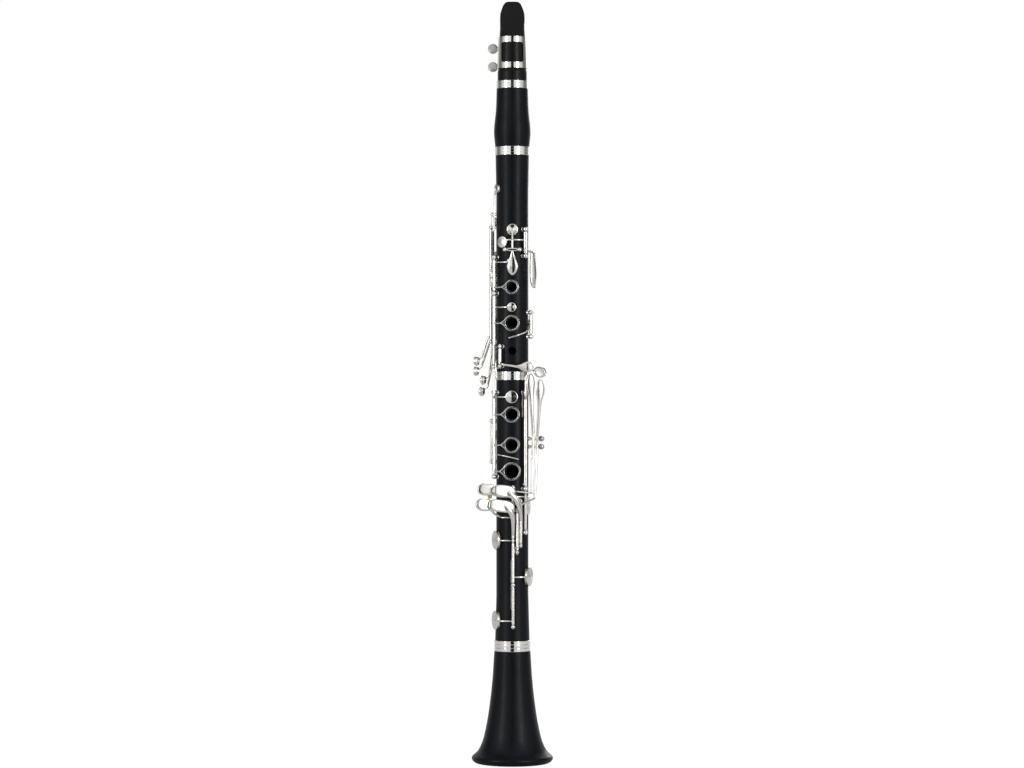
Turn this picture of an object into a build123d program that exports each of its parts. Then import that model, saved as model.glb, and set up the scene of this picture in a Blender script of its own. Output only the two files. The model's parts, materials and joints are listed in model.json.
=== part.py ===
"""A soprano clarinet of the seventeen-key, six-ring kind, in millimetres.

The bore axis is Z. The origin is at the bell's bottom plane and +Z runs to the mouthpiece.
The tone holes of the long fingers face -Y. An angle around the instrument is counted in
degrees from the front (-Y) towards +X, and a radius from the bore axis.
"""

import os
from math import asin, cos, degrees, radians, sin, sqrt

from build123d import *

os.makedirs("parts", exist_ok=True)

# ---- Driving lengths of the five joints, from the bell up ----
bell_length = 107.6
lower_joint_length = 235.3
upper_joint_length = 189.3
barrel_length = 65.1
mouthpiece_exposed = 70.7

bell_top = bell_length
lower_top = bell_top + lower_joint_length
upper_top = lower_top + upper_joint_length
barrel_top = upper_top + barrel_length
tip_z = barrel_top + mouthpiece_exposed

# ---- Bore and outer radii ----
bore_radius = 7.3
body_radius = 14.05
upper_joint_top_radius = 14.7
lower_joint_foot_radius = 15.1
barrel_waist_radius = 13.65
barrel_belly_radius = 16.1
barrel_foot_radius = 14.9
bell_top_radius = 16.2
bell_rim_radius = 36.0
head_cone_length = 36.0
foot_cone_length = 40.0

# ---- Tenons, corks and rings ----
tenon_radius = 11.0
tenon_length = 17.0
tenon_clearance = 0.08
cork_thickness = 0.9
cork_inset = 3.0
ring_depth = 0.9
ring_proud = 0.2
ring_groove = 0.35
barrel_upper_ring_height = 6.6
barrel_lower_ring_height = 7.5
middle_ring_height = 7.4
bell_ring_height = 9.4

# ---- Key work: shared sections and clearances ----
axis_radius = 18.2
side_axis_radius = 19.4
rod_radius = 0.9
running_clearance = 0.05
rod_seat_clearance = 0.02
tube_radius = 1.6
side_tube_radius = 1.45
cluster_tube_radius = 1.3
end_play = 0.15
arm_radius = 0.95
slim_arm_radius = 0.7
thin_arm_radius = 0.6
low_arm = 15.9
high_arm = 16.3
under_arm = 15.7
c_sharp_arm = 15.4
a_flat_arm = 16.1
post_radius = 1.35
post_depth = 3.0
post_foot_gap = 0.1
ball_radius = 2.3
small_ball_radius = 1.9
collar_radius = 1.9
collar_height = 0.6
spring_radius = 0.3

# ---- Pads, cups and tone holes ----
cup_wall = 0.5
cup_roof = 0.7
cup_cone = 0.9
pad_thickness = 1.9
pad_showing = 0.9
pad_clearance = 0.05
seat_margin = 1.1
seat_groove = 0.5
seat_rim = 1.0
arm_edge_margin = 3.5
arm_sunk = 0.3

# ---- Finger rings and their chimneys ----
ring_section = 0.75
ring_thickness = 1.3
chimney_height = 2.3
chimney_wall = 1.0
chimney_gap = 0.45

# ---- How far each sprung key stands open, in degrees ----
ring_key_open = 4.5
little_finger_open = 5.5


def around(angle, radius, z=0.0):
    """The point at an angle around the instrument, a radius from its axis and a height."""
    return Vector(radius * sin(radians(angle)), -radius * cos(radians(angle)), z)


def outward_plane(angle, z, radius=0.0):
    """A plane that faces away from the bore axis, with its own Y up the instrument."""
    return Plane(
        origin=around(angle, radius, z),
        x_dir=around(angle + 90, 1),
        z_dir=around(angle, 1),
    )


def section_plane(angle, z):
    """A plane across the instrument whose own Y points outward at the angle."""
    return Plane(origin=(0, 0, z), x_dir=around(angle + 90, 1), z_dir=(0, 0, -1))


def upright(x, y, z_low, z_high, radius, mode=Mode.ADD):
    """A cylinder that stands along Z."""
    with BuildSketch(Plane((x, y, z_low))) as profile:
        Circle(radius)
    extrude(profile.sketch, amount=z_high - z_low, mode=mode)


def across(x_low, x_high, y, z, radius, mode=Mode.ADD):
    """A cylinder that lies along X."""
    with BuildSketch(Plane(origin=(x_low, y, z), z_dir=(1, 0, 0))) as profile:
        Circle(radius)
    extrude(profile.sketch, amount=x_high - x_low, mode=mode)


def ball(centre, radius):
    """A ball, used at posts and at the free ends of arms."""
    with Locations(centre):
        Sphere(radius)


def bar(points, radius, bend=2.5):
    """A round arm along straight runs with rounded corners and rounded ends."""
    with BuildLine() as route:
        if len(points) > 2:
            FilletPolyline(*points, radius=bend)
        else:
            Polyline(*points)
    start = Vector(points[0])
    towards = Vector(points[1]) - start
    with BuildSketch(Plane(origin=start, z_dir=towards)) as section:
        Circle(radius)
    sweep(sections=section.sketch, path=route.wires()[0])
    ball(points[0], radius)
    ball(points[-1], radius)


def hoop_arm(angle_low, angle_high, radius, z, section):
    """A round arm that follows the body at one height."""
    path_start = around(angle_low, radius, z)
    with BuildLine() as route:
        ThreePointArc(
            path_start,
            around((angle_low + angle_high) / 2, radius, z),
            around(angle_high, radius, z),
        )
    with BuildSketch(Plane(origin=path_start, z_dir=around(angle_low + 90, 1))) as profile:
        Circle(section)
    sweep(sections=profile.sketch, path=route.wires()[0])
    ball(path_start, section)
    ball(around(angle_high, radius, z), section)


def seat_radius(pad_radius, outer_radius=body_radius):
    """How far from the axis a pad lies when its tone hole is shut."""
    rim = pad_radius - seat_margin
    return sqrt(outer_radius**2 - rim**2) - seat_groove / 4


def cup(angle, z, pad_radius, outer_radius=body_radius):
    """A shallow cone-topped cup over a closed tone hole."""
    seat = seat_radius(pad_radius, outer_radius) + pad_clearance
    rim = seat + pad_showing
    roof = seat + pad_thickness
    shoulder = roof + cup_roof / 2
    outside = pad_radius + cup_wall
    with BuildSketch(section_plane(angle, z)) as profile:
        with BuildLine():
            Polyline(
                (0, roof),
                (pad_radius, roof),
                (pad_radius, rim),
                (outside, rim),
                (outside, shoulder),
                (outside - cup_wall, shoulder + cup_roof / 3),
                (0.8, shoulder + cup_cone),
                (0, shoulder + cup_cone),
                close=True,
            )
        make_face()
    revolve(profile.sketch, axis=Axis((0, 0, z), around(angle, 1)))


def clear_pad(angle, z, pad_radius, outer_radius=body_radius):
    """Opens the room for a pad under its cup, past any arm that crosses it."""
    seat = seat_radius(pad_radius, outer_radius)
    below = pad_thickness
    with BuildSketch(outward_plane(angle, z, seat - below)) as profile:
        Circle(pad_radius)
    room = below + pad_clearance + pad_thickness
    extrude(profile.sketch, amount=room, mode=Mode.SUBTRACT)


def cup_top(pad_radius, outer_radius=body_radius):
    """The radius of a closed cup's point."""
    seat = seat_radius(pad_radius, outer_radius) + pad_clearance
    return seat + pad_thickness + cup_roof / 2 + cup_cone


def cup_arm(angle_from, cup_angle, z, pad_radius, radius, section):
    """An arm around the body that rises over the near edge of its cup."""
    way = 1 if angle_from > cup_angle else -1
    edge = degrees(asin((pad_radius + cup_wall) / radius)) + arm_edge_margin
    edge_angle = cup_angle + way * edge
    hoop_arm(angle_from, edge_angle, radius, z, section)
    bar(
        [
            around(edge_angle, radius, z),
            around(cup_angle, cup_top(pad_radius) - arm_sunk, z),
        ],
        section,
    )


def pad_disc(angle, z, pad_radius, outer_radius=body_radius):
    """A felt pad under its skin, as it lies in a closed cup."""
    seat = seat_radius(pad_radius, outer_radius) + pad_clearance
    with BuildSketch(outward_plane(angle, z, seat)) as profile:
        Circle(pad_radius)
    extrude(profile.sketch, amount=pad_thickness)
    soft_edge = edges().filter_by(GeomType.CIRCLE).sort_by_distance(around(angle, 0, z))[0]
    fillet(soft_edge, radius=pad_showing / 2)


def finger_ring(angle, z, hole_radius, outer_radius=body_radius):
    """The ring of a ring key, level with the top of its chimney when it is pressed."""
    inner = hole_radius + chimney_wall + chimney_gap
    top = outer_radius + chimney_height
    with BuildSketch(outward_plane(angle, z, top - ring_thickness)) as profile:
        Circle(inner + 2 * ring_section)
        Circle(inner, mode=Mode.SUBTRACT)
    extrude(profile.sketch, amount=ring_thickness)


def ring_arm(rod_angle, angle, z, hole_radius, outer_radius=body_radius):
    """The arm of a finger ring, which spreads into the ring."""
    inner = hole_radius + chimney_wall + chimney_gap
    outer = inner + 2 * ring_section
    top = outer_radius + chimney_height
    side = -1 if rod_angle < angle else 1
    with BuildSketch(outward_plane(angle, z, top - ring_thickness)) as profile:
        with BuildLine():
            Polyline(
                (side * (outer + 2.4), 0.7),
                (side * (inner + ring_section) * 0.8, inner * 0.72),
                (side * (inner + ring_section) * 0.8, -inner * 0.72),
                (side * (outer + 2.4), -0.7),
                close=True,
            )
        make_face()
        Circle(inner, mode=Mode.SUBTRACT)
    extrude(profile.sketch, amount=ring_thickness)
    joint = outward_plane(angle, z, top - ring_thickness / 2)
    end = joint.from_local_coords((side * (outer + 1.8), 0, 0))
    hinge = around(rod_angle, axis_radius, z)
    bar([hinge, end], slim_arm_radius)


def leaf_plate(plane, length, width, thickness):
    """A leaf-shaped touch that widens from its stem, which lies at the plane's origin."""
    half = width / 2
    with BuildSketch(plane) as profile:
        with BuildLine():
            Spline(
                (0, 0),
                (half * 0.55, length * 0.28),
                (half, length * 0.68),
                (0, length),
                (-half, length * 0.68),
                (-half * 0.55, length * 0.28),
                (0, 0),
            )
        make_face()
    extrude(profile.sketch, amount=thickness)


def swing(part, hinge, angle):
    """A part turned about a hinge axis."""
    return part.rotate(hinge, angle)


def upright_axis(point):
    """A hinge axis along Z."""
    return Axis((point.X, point.Y, 0), (0, 0, 1))


def write(builder, name):
    """Names a finished piece and writes it."""
    builder.part.label = name
    export_step(builder.part, f"parts/{name}.step")


# ---- Places of the upright hinge rods ----
stack_angle = -61.5
stack = around(stack_angle, axis_radius)
thumb_angle = -84.0
thumb_axis = around(thumb_angle, axis_radius)
side_angles = (-142.0, -130.0, -118.0, -106.0)
side_axes = [around(angle, side_axis_radius) for angle in side_angles]
g_sharp_angle = 39.2
g_sharp_axis = around(g_sharp_angle, axis_radius)
e_flat_angle = 65.0
e_flat_axis = around(e_flat_angle, axis_radius - 0.2)
c_sharp_angle = -36.5
c_sharp_axis = around(c_sharp_angle, axis_radius)
b_angle = -88.0
b_axis = around(b_angle, axis_radius)
f_lever_angle = 39.3
f_lever_axis = around(f_lever_angle, axis_radius - 0.2)
e_angle = 1.9
e_axis = around(e_angle, axis_radius + 0.1)
f_touch_angle = 13.6
f_touch_axis = around(f_touch_angle, axis_radius + 0.1)
f_sharp_angle = 23.6
f_sharp_axis = around(f_sharp_angle, axis_radius + 0.1)

# ---- Heights of what lies along the joints ----
throat_a_z = lower_top + 123.8
throat_a_pivot_z = lower_top + 106.2
throat_a_pivot_y = -20.0
throat_post_x = 6.4
g_sharp_cup_z = lower_top + 113.1
g_sharp_cup_angle = -35.0
g_sharp_ends = (lower_top + 100.9, lower_top + 124.1)
first_vent_z = lower_top + 95.4
first_ring_z = lower_top + 73.6
thumb_hole_z = lower_top + 82.1
thumb_ends = (lower_top + 75.7, lower_top + 88.5)
second_vent_z = lower_top + 56.1
second_ring_z = lower_top + 42.2
third_hole_z = lower_top + 18.1
stack_ends = (lower_top + 4.1, lower_top + 68.3, lower_top + 99.8)
e_flat_ends = (lower_top + 30.6, lower_top + 51.6)
e_flat_cup_z = lower_top + 41.1
e_flat_cup_angle = 106.0
c_sharp_ends = (lower_top + 4.7, lower_top + 21.9)
c_sharp_cup_z = lower_top + 13.3
c_sharp_cup_angle = -95.0
side_cup_z = (lower_top + 68.0, lower_top + 96.0, lower_top + 131.0, lower_top + 159.8)
side_cup_angles = (-88.0, -88.0, -88.0, -64.0)
side_low_ends = (lower_top + 13.1, lower_top + 17.1, lower_top + 21.6, lower_top + 26.1)
side_high_ends = (lower_top + 76.1, lower_top + 103.6, lower_top + 138.1, lower_top + 126.6)
register_cup_z = lower_top + 157.1
register_pivot_z = lower_top + 131.1
register_pivot_y = 19.6
register_post_x = 5.2

right_vent_z = lower_top - 22.2
right_ring_z = (lower_top - 37.5, lower_top - 64.1, lower_top - 87.1)
right_ring_holes = (4.1, 4.1, 5.0)
right_stack_ends = (lower_top - 91.9, lower_top - 18.3)
b_ends = (lower_top - 78.9, lower_top - 43.3)
b_cup_z = lower_top - 55.9
b_cup_angle = -126.0
f_lever_ends = (bell_top + 95.0, bell_top + 133.0, lower_top - 18.3)
a_flat_cup_z = bell_top + 117.9
a_flat_cup_angle = 78.0
f_sharp_cup_z = bell_top + 87.9
f_sharp_cup_angle = -76.0
f_cup_z = bell_top + 56.0
f_cup_angle = 76.0
e_cup_z = bell_top + 17.7
e_cup_angle = -76.0
e_ends = (bell_top + 12.9, bell_top + 49.4, bell_top + 134.2)
f_touch_ends = (bell_top + 77.9, bell_top + 114.2)
f_sharp_ends = (bell_top + 83.7, bell_top + 122.4)
see_saw_y = -8.0
e_lever_z = bell_top + 176.7
f_sharp_lever_z = bell_top + 169.7
thumb_rest_z = lower_top - 50.9
rest_screw_z = (thumb_rest_z - 8.5, thumb_rest_z + 5.5)
rest_screw_radius = 1.3

# ---- Pad sizes ----
vent_pad = 3.6
throat_pad = 4.5
side_pad = 3.7
c_sharp_pad = 4.0
right_vent_pad = 5.0
b_pad = 4.6
a_flat_pad = 8.0
big_pad = 7.9
register_tube_radius = vent_pad - seat_margin
register_tube_reach = 2.2
hole_radius = 3.5
first_hole_radius = 3.3
second_hole_radius = 4.0

# ---- Mouthpiece, reed and ligature ----
shank_radius = 12.9
beak_radius = 10.8
beak_start_z = barrel_top + 37.0
tip_half_width = 6.4
tip_y = 7.9
tip_thickness = 1.2
table_foot_y = 10.1
table_foot_z = barrel_top + 5.5
table_top_y = tip_y
reed_half_width = 6.3
reed_heel_z = barrel_top + 7.0
band_low_z = barrel_top + 11.0
band_high_z = barrel_top + 38.6
band_low_radius = 12.75
band_high_radius = 11.75
band_offset_y = 0.45
band_wall = 0.5
band_gap = 0.05
band_seat = band_offset_y + band_gap
band_slit = 1.6
band_strip = 5.0
band_window_half = 9.6
ligature_screw_z = (barrel_top + 14.0, barrel_top + 30.0)
ligature_screw_y = 15.6
ligature_lug_radius = 2.1
ligature_lug_half = 5.2
ligature_web = 3.4
screw_radius = 1.2
screw_head_radius = 4.3
screw_head_length = 6.6
screw_neck = 3.0


def table_y(z):
    """How far back the mouthpiece's flat table lies at a height."""
    share = (z - table_foot_z) / (tip_z - table_foot_z)
    return table_foot_y + share * (table_top_y - table_foot_y)


def band_inner(z):
    """The ligature band's inner radius at a height, carried on past both its ends."""
    share = (z - band_low_z) / (band_high_z - band_low_z)
    return band_low_radius + share * (band_high_radius - band_low_radius)


side_view = Plane(origin=(0, 0, 0), x_dir=(0, 1, 0), z_dir=(1, 0, 0))
front_view = Plane(origin=(0, 0, 0), x_dir=(1, 0, 0), z_dir=(0, -1, 0))
outer_reach = 20.0

with BuildPart() as mouthpiece:
    with BuildSketch(front_view):
        with BuildLine():
            Polyline(
                (0, barrel_top - tenon_length),
                (tenon_radius, barrel_top - tenon_length),
                (tenon_radius, barrel_top - tenon_length + cork_inset),
                (tenon_radius - cork_thickness, barrel_top - tenon_length + cork_inset),
                (tenon_radius - cork_thickness, barrel_top - cork_inset),
                (tenon_radius, barrel_top - cork_inset),
                (tenon_radius, barrel_top),
                (shank_radius, barrel_top),
                (shank_radius, barrel_top + 8.0),
                (band_low_radius - band_seat, band_low_z),
                (band_high_radius - band_seat, band_high_z),
                (beak_radius, band_high_z + 8.0),
                (beak_radius, tip_z),
                (0, tip_z),
                close=True,
            )
        make_face()
    revolve(axis=Axis.Z)
    with BuildSketch(side_view) as beak_cut:
        with BuildLine():
            Line((-outer_reach, beak_start_z - 6), (-beak_radius, beak_start_z - 1))
            beak_face = ThreePointArc(
                (-beak_radius, beak_start_z - 1),
                (-1.2, beak_start_z + 15.0),
                (tip_y - tip_thickness, tip_z),
            )
            Line(beak_face @ 1, (tip_y - tip_thickness, tip_z + 1))
            Line((tip_y - tip_thickness, tip_z + 1), (-outer_reach, tip_z + 1))
            Line((-outer_reach, tip_z + 1), (-outer_reach, beak_start_z - 6))
        make_face()
    extrude(amount=outer_reach, both=True, mode=Mode.SUBTRACT)
    with BuildSketch(side_view):
        with BuildLine():
            Polyline(
                (table_foot_y, table_foot_z),
                (table_top_y, tip_z),
                (table_top_y, tip_z + 1),
                (outer_reach, tip_z + 1),
                (outer_reach, table_foot_z),
                close=True,
            )
        make_face()
    extrude(amount=outer_reach, both=True, mode=Mode.SUBTRACT)
    with BuildSketch(front_view) as tip_corners:
        with BuildLine():
            shoulder_curve = Spline(
                (beak_radius + 0.2, tip_z - 16.0),
                (beak_radius - 1.6, tip_z - 6.5),
                (tip_half_width, tip_z - 1.2),
                (0, tip_z),
                tangents=[(0, 1), (-1, 0)],
            )
            Line((0, tip_z), (0, tip_z + 2))
            Line((0, tip_z + 2), (beak_radius + 3, tip_z + 2))
            Line((beak_radius + 3, tip_z + 2), (beak_radius + 3, tip_z - 16.0))
            Line((beak_radius + 3, tip_z - 16.0), shoulder_curve @ 0)
        make_face()
        mirror(about=Plane.YZ)
    extrude(amount=outer_reach, both=True, mode=Mode.SUBTRACT)
    upright(0, 0, barrel_top - tenon_length, beak_start_z, bore_radius, Mode.SUBTRACT)
    with BuildSketch(side_view):
        with BuildLine():
            Polyline(
                (-bore_radius + 1.5, beak_start_z - 4),
                (tip_y - tip_thickness - 1.2, tip_z - 4.5),
                (outer_reach, tip_z - 4.5),
                (outer_reach, beak_start_z - 4),
                close=True,
            )
        make_face()
    extrude(amount=reed_half_width - 1.2, both=True, mode=Mode.SUBTRACT)
write(mouthpiece, "mouthpiece")

with BuildPart() as reed:
    with BuildSketch(side_view):
        with BuildLine():
            Polyline(
                (table_y(reed_heel_z), reed_heel_z),
                (table_top_y, tip_z),
                (table_top_y + 0.2, tip_z),
                (table_y(band_high_z) + 2.5, band_high_z + 1),
                (band_offset_y + band_inner(reed_heel_z), reed_heel_z),
                close=True,
            )
        make_face()
    extrude(amount=reed_half_width, both=True)
    with BuildSketch(Plane((0, band_offset_y, reed_heel_z - 1))):
        Circle(band_inner(reed_heel_z - 1) - band_gap)
    with BuildSketch(Plane((0, band_offset_y, tip_z + 1))):
        Circle(band_inner(tip_z + 1) - band_gap)
    loft(mode=Mode.INTERSECT)
    with BuildSketch(front_view):
        with BuildLine():
            tip_curve = Spline(
                (reed_half_width + 1, tip_z - 6.5),
                (reed_half_width - 0.3, tip_z - 2.4),
                (0, tip_z - 0.15),
                tangents=[(0, 1), (-1, 0)],
            )
            Line((0, tip_z - 0.15), (0, tip_z + 2))
            Line((0, tip_z + 2), (reed_half_width + 1, tip_z + 2))
            Line((reed_half_width + 1, tip_z + 2), tip_curve @ 0)
        make_face()
        mirror(about=Plane.YZ)
    extrude(amount=outer_reach, both=True, mode=Mode.SUBTRACT)
write(reed, "reed")

with BuildPart() as ligature_band:
    with BuildSketch(Plane((0, band_offset_y, band_low_z))):
        Circle(band_low_radius + band_wall)
    with BuildSketch(Plane((0, band_offset_y, band_high_z))):
        Circle(band_high_radius + band_wall)
    loft()
    for lug_z in ligature_screw_z:
        across(
            -ligature_lug_half, ligature_lug_half, ligature_screw_y, lug_z, ligature_lug_radius
        )
        with Locations((0, ligature_screw_y - ligature_web / 2, lug_z)):
            Box(2 * ligature_lug_half, ligature_web, ligature_lug_radius * 1.5)
    with BuildSketch(Plane((0, band_offset_y, band_low_z))):
        Circle(band_low_radius)
    with BuildSketch(Plane((0, band_offset_y, band_high_z))):
        Circle(band_high_radius)
    loft(mode=Mode.SUBTRACT)
    with BuildSketch(Plane((0, outer_reach / 2, band_low_z - 1))):
        Rectangle(band_slit, outer_reach)
    extrude(amount=band_high_z - band_low_z + 2, mode=Mode.SUBTRACT)
    window_height = band_high_z - band_low_z - 2 * band_strip
    window_middle = (band_high_z + band_low_z) / 2
    with BuildSketch(front_view) as front_window:
        with Locations((0, window_middle)):
            RectangleRounded(2 * band_window_half, window_height, 2.0)
    extrude(amount=outer_reach, mode=Mode.SUBTRACT)
    for lug_z in ligature_screw_z:
        across(
            -outer_reach,
            outer_reach,
            ligature_screw_y,
            lug_z,
            screw_radius + running_clearance,
            Mode.SUBTRACT,
        )
write(ligature_band, "ligature_band")

for screw_name, screw_z in zip(("lower", "upper"), ligature_screw_z):
    with BuildPart() as ligature_screw:
        head_inner_x = -ligature_lug_half - screw_neck
        across(head_inner_x, ligature_lug_half + 1.5, ligature_screw_y, screw_z, screw_radius)
        across(
            head_inner_x - screw_head_length,
            head_inner_x,
            ligature_screw_y,
            screw_z,
            screw_head_radius,
        )
        head_rims = edges().filter_by(GeomType.CIRCLE).sort_by(Axis.X)
        fillet(head_rims[0:1], radius=2.6)
        collar = head_inner_x + screw_neck - 1.0
        across(head_inner_x, collar, ligature_screw_y, screw_z, screw_radius + 1.0)
    write(ligature_screw, f"ligature_screw_{screw_name}")


# ---- Wooden joints ----
def outer_at(z):
    """A wooden joint's outer radius: straight, with a slight cone at the far ends."""
    above = max(0.0, z - (upper_top - head_cone_length)) / head_cone_length
    below = max(0.0, bell_top + foot_cone_length - z) / foot_cone_length
    head = (upper_joint_top_radius - body_radius) * above
    foot = (lower_joint_foot_radius - body_radius) * below
    return body_radius + head + foot


def joint_wall(z_low, z_bend, z_high):
    """Revolves a joint's wall, straight on one side of its bend and conical on the other."""
    with BuildSketch(front_view) as profile:
        with BuildLine():
            Polyline(
                (bore_radius, z_low),
                (outer_at(z_low), z_low),
                (outer_at(z_bend), z_bend),
                (outer_at(z_high), z_high),
                (bore_radius, z_high),
                close=True,
            )
        make_face()
    revolve(profile.sketch, axis=Axis.Z)


def ring_seat(outer_radius, z_low, height):
    """Cuts the recess that a metal ring sits in."""
    with BuildSketch(Plane.XY.offset(z_low)) as profile:
        Circle(outer_radius + 5)
        Circle(outer_radius - ring_depth, mode=Mode.SUBTRACT)
    extrude(profile.sketch, amount=height, mode=Mode.SUBTRACT)


def metal_ring(outer_radius, z_low, height):
    """A metal ring with two shallow grooves around it."""
    inner = outer_radius - ring_depth
    outer = outer_radius + ring_proud
    step = height / 3
    with BuildSketch(front_view) as profile:
        with BuildLine():
            Polyline(
                (inner, z_low),
                (outer - 0.2, z_low),
                (outer, z_low + 0.2),
                (outer, z_low + step - ring_groove),
                (outer - ring_groove, z_low + step),
                (outer, z_low + step + ring_groove),
                (outer, z_low + 2 * step - ring_groove),
                (outer - ring_groove, z_low + 2 * step),
                (outer, z_low + 2 * step + ring_groove),
                (outer, z_low + height - 0.2),
                (outer - 0.2, z_low + height),
                (inner, z_low + height),
                close=True,
            )
        make_face()
    revolve(profile.sketch, axis=Axis.Z)


def tenon(z_root, way):
    """A tenon with its cork groove, grown from a shoulder up (1) or down (-1)."""
    start = z_root if way > 0 else z_root - tenon_length
    upright(0, 0, start, start + tenon_length, tenon_radius)
    with BuildSketch(Plane.XY.offset(start + cork_inset)) as profile:
        Circle(tenon_radius + 1)
        Circle(tenon_radius - cork_thickness, mode=Mode.SUBTRACT)
    extrude(profile.sketch, amount=tenon_length - 2 * cork_inset, mode=Mode.SUBTRACT)


def socket(z_mouth, way):
    """The socket that a tenon enters, cut up (1) or down (-1) from its mouth."""
    start = z_mouth if way > 0 else z_mouth - tenon_length - end_play
    top = start + tenon_length + end_play
    upright(0, 0, start, top, tenon_radius + tenon_clearance, Mode.SUBTRACT)


def tone_hole(angle, z, pad_radius, outer_radius=body_radius):
    """A tone hole with a flat raised seat inside a shallow countersink."""
    seat = seat_radius(pad_radius, outer_radius)
    open_radius = pad_radius - seat_margin - seat_rim
    with BuildSketch(outward_plane(angle, z, seat - seat_groove)) as profile:
        Circle(pad_radius + cup_wall + 0.45)
        Circle(open_radius + seat_rim, mode=Mode.SUBTRACT)
    extrude(profile.sketch, amount=outer_radius, mode=Mode.SUBTRACT)
    with BuildSketch(outward_plane(angle, z, seat)) as profile:
        Circle(open_radius + seat_rim)
    extrude(profile.sketch, amount=outer_radius, mode=Mode.SUBTRACT)
    with BuildSketch(outward_plane(angle, z)) as profile:
        Circle(open_radius)
    extrude(profile.sketch, amount=outer_radius * 2, mode=Mode.SUBTRACT)


def chimney(angle, z, hole, outer_radius=body_radius):
    """A raised finger hole."""
    with BuildSketch(outward_plane(angle, z, bore_radius + 1)) as profile:
        Circle(hole + chimney_wall)
    extrude(profile.sketch, amount=outer_radius + chimney_height - bore_radius - 1)


def open_hole(angle, z, hole):
    """A hole through one wall."""
    with BuildSketch(outward_plane(angle, z)) as profile:
        Circle(hole)
    extrude(profile.sketch, amount=body_radius * 2, mode=Mode.SUBTRACT)


def post_hole(angle, z, outer_radius=body_radius):
    """The blind hole that a key post screws into."""
    with BuildSketch(outward_plane(angle, z, outer_radius - post_depth)) as profile:
        Circle(post_radius)
    extrude(profile.sketch, amount=post_depth * 2, mode=Mode.SUBTRACT)


upper_posts_at = (
    [(stack_angle, z, axis_radius, ball_radius) for z in stack_ends]
    + [(thumb_angle, z, axis_radius, small_ball_radius) for z in thumb_ends]
    + [(g_sharp_angle, z, axis_radius, ball_radius) for z in g_sharp_ends]
    + [(e_flat_angle, z, axis_radius - 0.2, ball_radius) for z in e_flat_ends]
    + [(c_sharp_angle, z, axis_radius, small_ball_radius) for z in c_sharp_ends]
    + [
        (angle, z, side_axis_radius, small_ball_radius)
        for angle, ends in zip(side_angles, zip(side_low_ends, side_high_ends))
        for z in ends
    ]
)
lower_posts_at = (
    [(stack_angle, z, axis_radius, ball_radius) for z in right_stack_ends]
    + [(b_angle, z, axis_radius, small_ball_radius) for z in b_ends]
    + [(f_lever_angle, z, axis_radius - 0.2, ball_radius) for z in f_lever_ends]
    + [(e_angle, z, axis_radius + 0.1, small_ball_radius) for z in e_ends]
    + [(f_touch_angle, z, axis_radius + 0.1, small_ball_radius - 0.3) for z in f_touch_ends]
    + [(f_sharp_angle, z, axis_radius + 0.1, small_ball_radius - 0.3) for z in f_sharp_ends]
)
upper_pads_at = (
    [(0.0, throat_a_z, throat_pad), (g_sharp_cup_angle, g_sharp_cup_z, throat_pad)]
    + [(180.0, register_cup_z, vent_pad)]
    + [(0.0, first_vent_z, vent_pad), (0.0, second_vent_z, vent_pad)]
    + [(e_flat_cup_angle, e_flat_cup_z, c_sharp_pad)]
    + [(c_sharp_cup_angle, c_sharp_cup_z, c_sharp_pad)]
    + [(angle, z, side_pad) for angle, z in zip(side_cup_angles, side_cup_z)]
)
lower_pads_at = [
    (0.0, right_vent_z, right_vent_pad),
    (b_cup_angle, b_cup_z, b_pad),
    (a_flat_cup_angle, a_flat_cup_z, a_flat_pad),
    (f_sharp_cup_angle, f_sharp_cup_z, big_pad),
    (f_cup_angle, f_cup_z, big_pad),
    (e_cup_angle, e_cup_z, big_pad),
]

with BuildPart() as upper_joint:
    joint_wall(lower_top, upper_top - head_cone_length, upper_top)
    tenon(upper_top, 1)
    tenon(lower_top, -1)
    for hole_z, hole in ((first_ring_z, first_hole_radius), (second_ring_z, second_hole_radius)):
        chimney(0.0, hole_z, hole)
    upright(
        0, 0, lower_top - tenon_length, upper_top + tenon_length, bore_radius, Mode.SUBTRACT
    )
    for hole_z, hole in ((first_ring_z, first_hole_radius), (second_ring_z, second_hole_radius)):
        open_hole(0.0, hole_z, hole)
    open_hole(0.0, third_hole_z, hole_radius)
    open_hole(180.0, thumb_hole_z, hole_radius + chimney_wall)
    for pad_angle, pad_z, pad_radius in upper_pads_at:
        tone_hole(pad_angle, pad_z, pad_radius)
    open_hole(180.0, register_cup_z, register_tube_radius)
    for post_angle, post_z, _, _ in upper_posts_at:
        post_hole(post_angle, post_z, outer_at(post_z))
    for side in (-1, 1):
        with BuildSketch(
            Plane(origin=(side * throat_post_x, -body_radius + post_depth, throat_a_pivot_z),
                  z_dir=(0, -1, 0))
        ):
            Circle(post_radius)
        extrude(amount=post_depth * 2, mode=Mode.SUBTRACT)
        with BuildSketch(
            Plane(origin=(side * register_post_x, body_radius - post_depth, register_pivot_z),
                  z_dir=(0, 1, 0))
        ):
            Circle(post_radius)
        extrude(amount=post_depth * 2, mode=Mode.SUBTRACT)
write(upper_joint, "upper_joint")

# ---- Lower joint, barrel, bell and their rings ----
throat_radius = 9.4
foot_bore_radius = 8.6
foot_flare_length = 60.0

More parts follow.
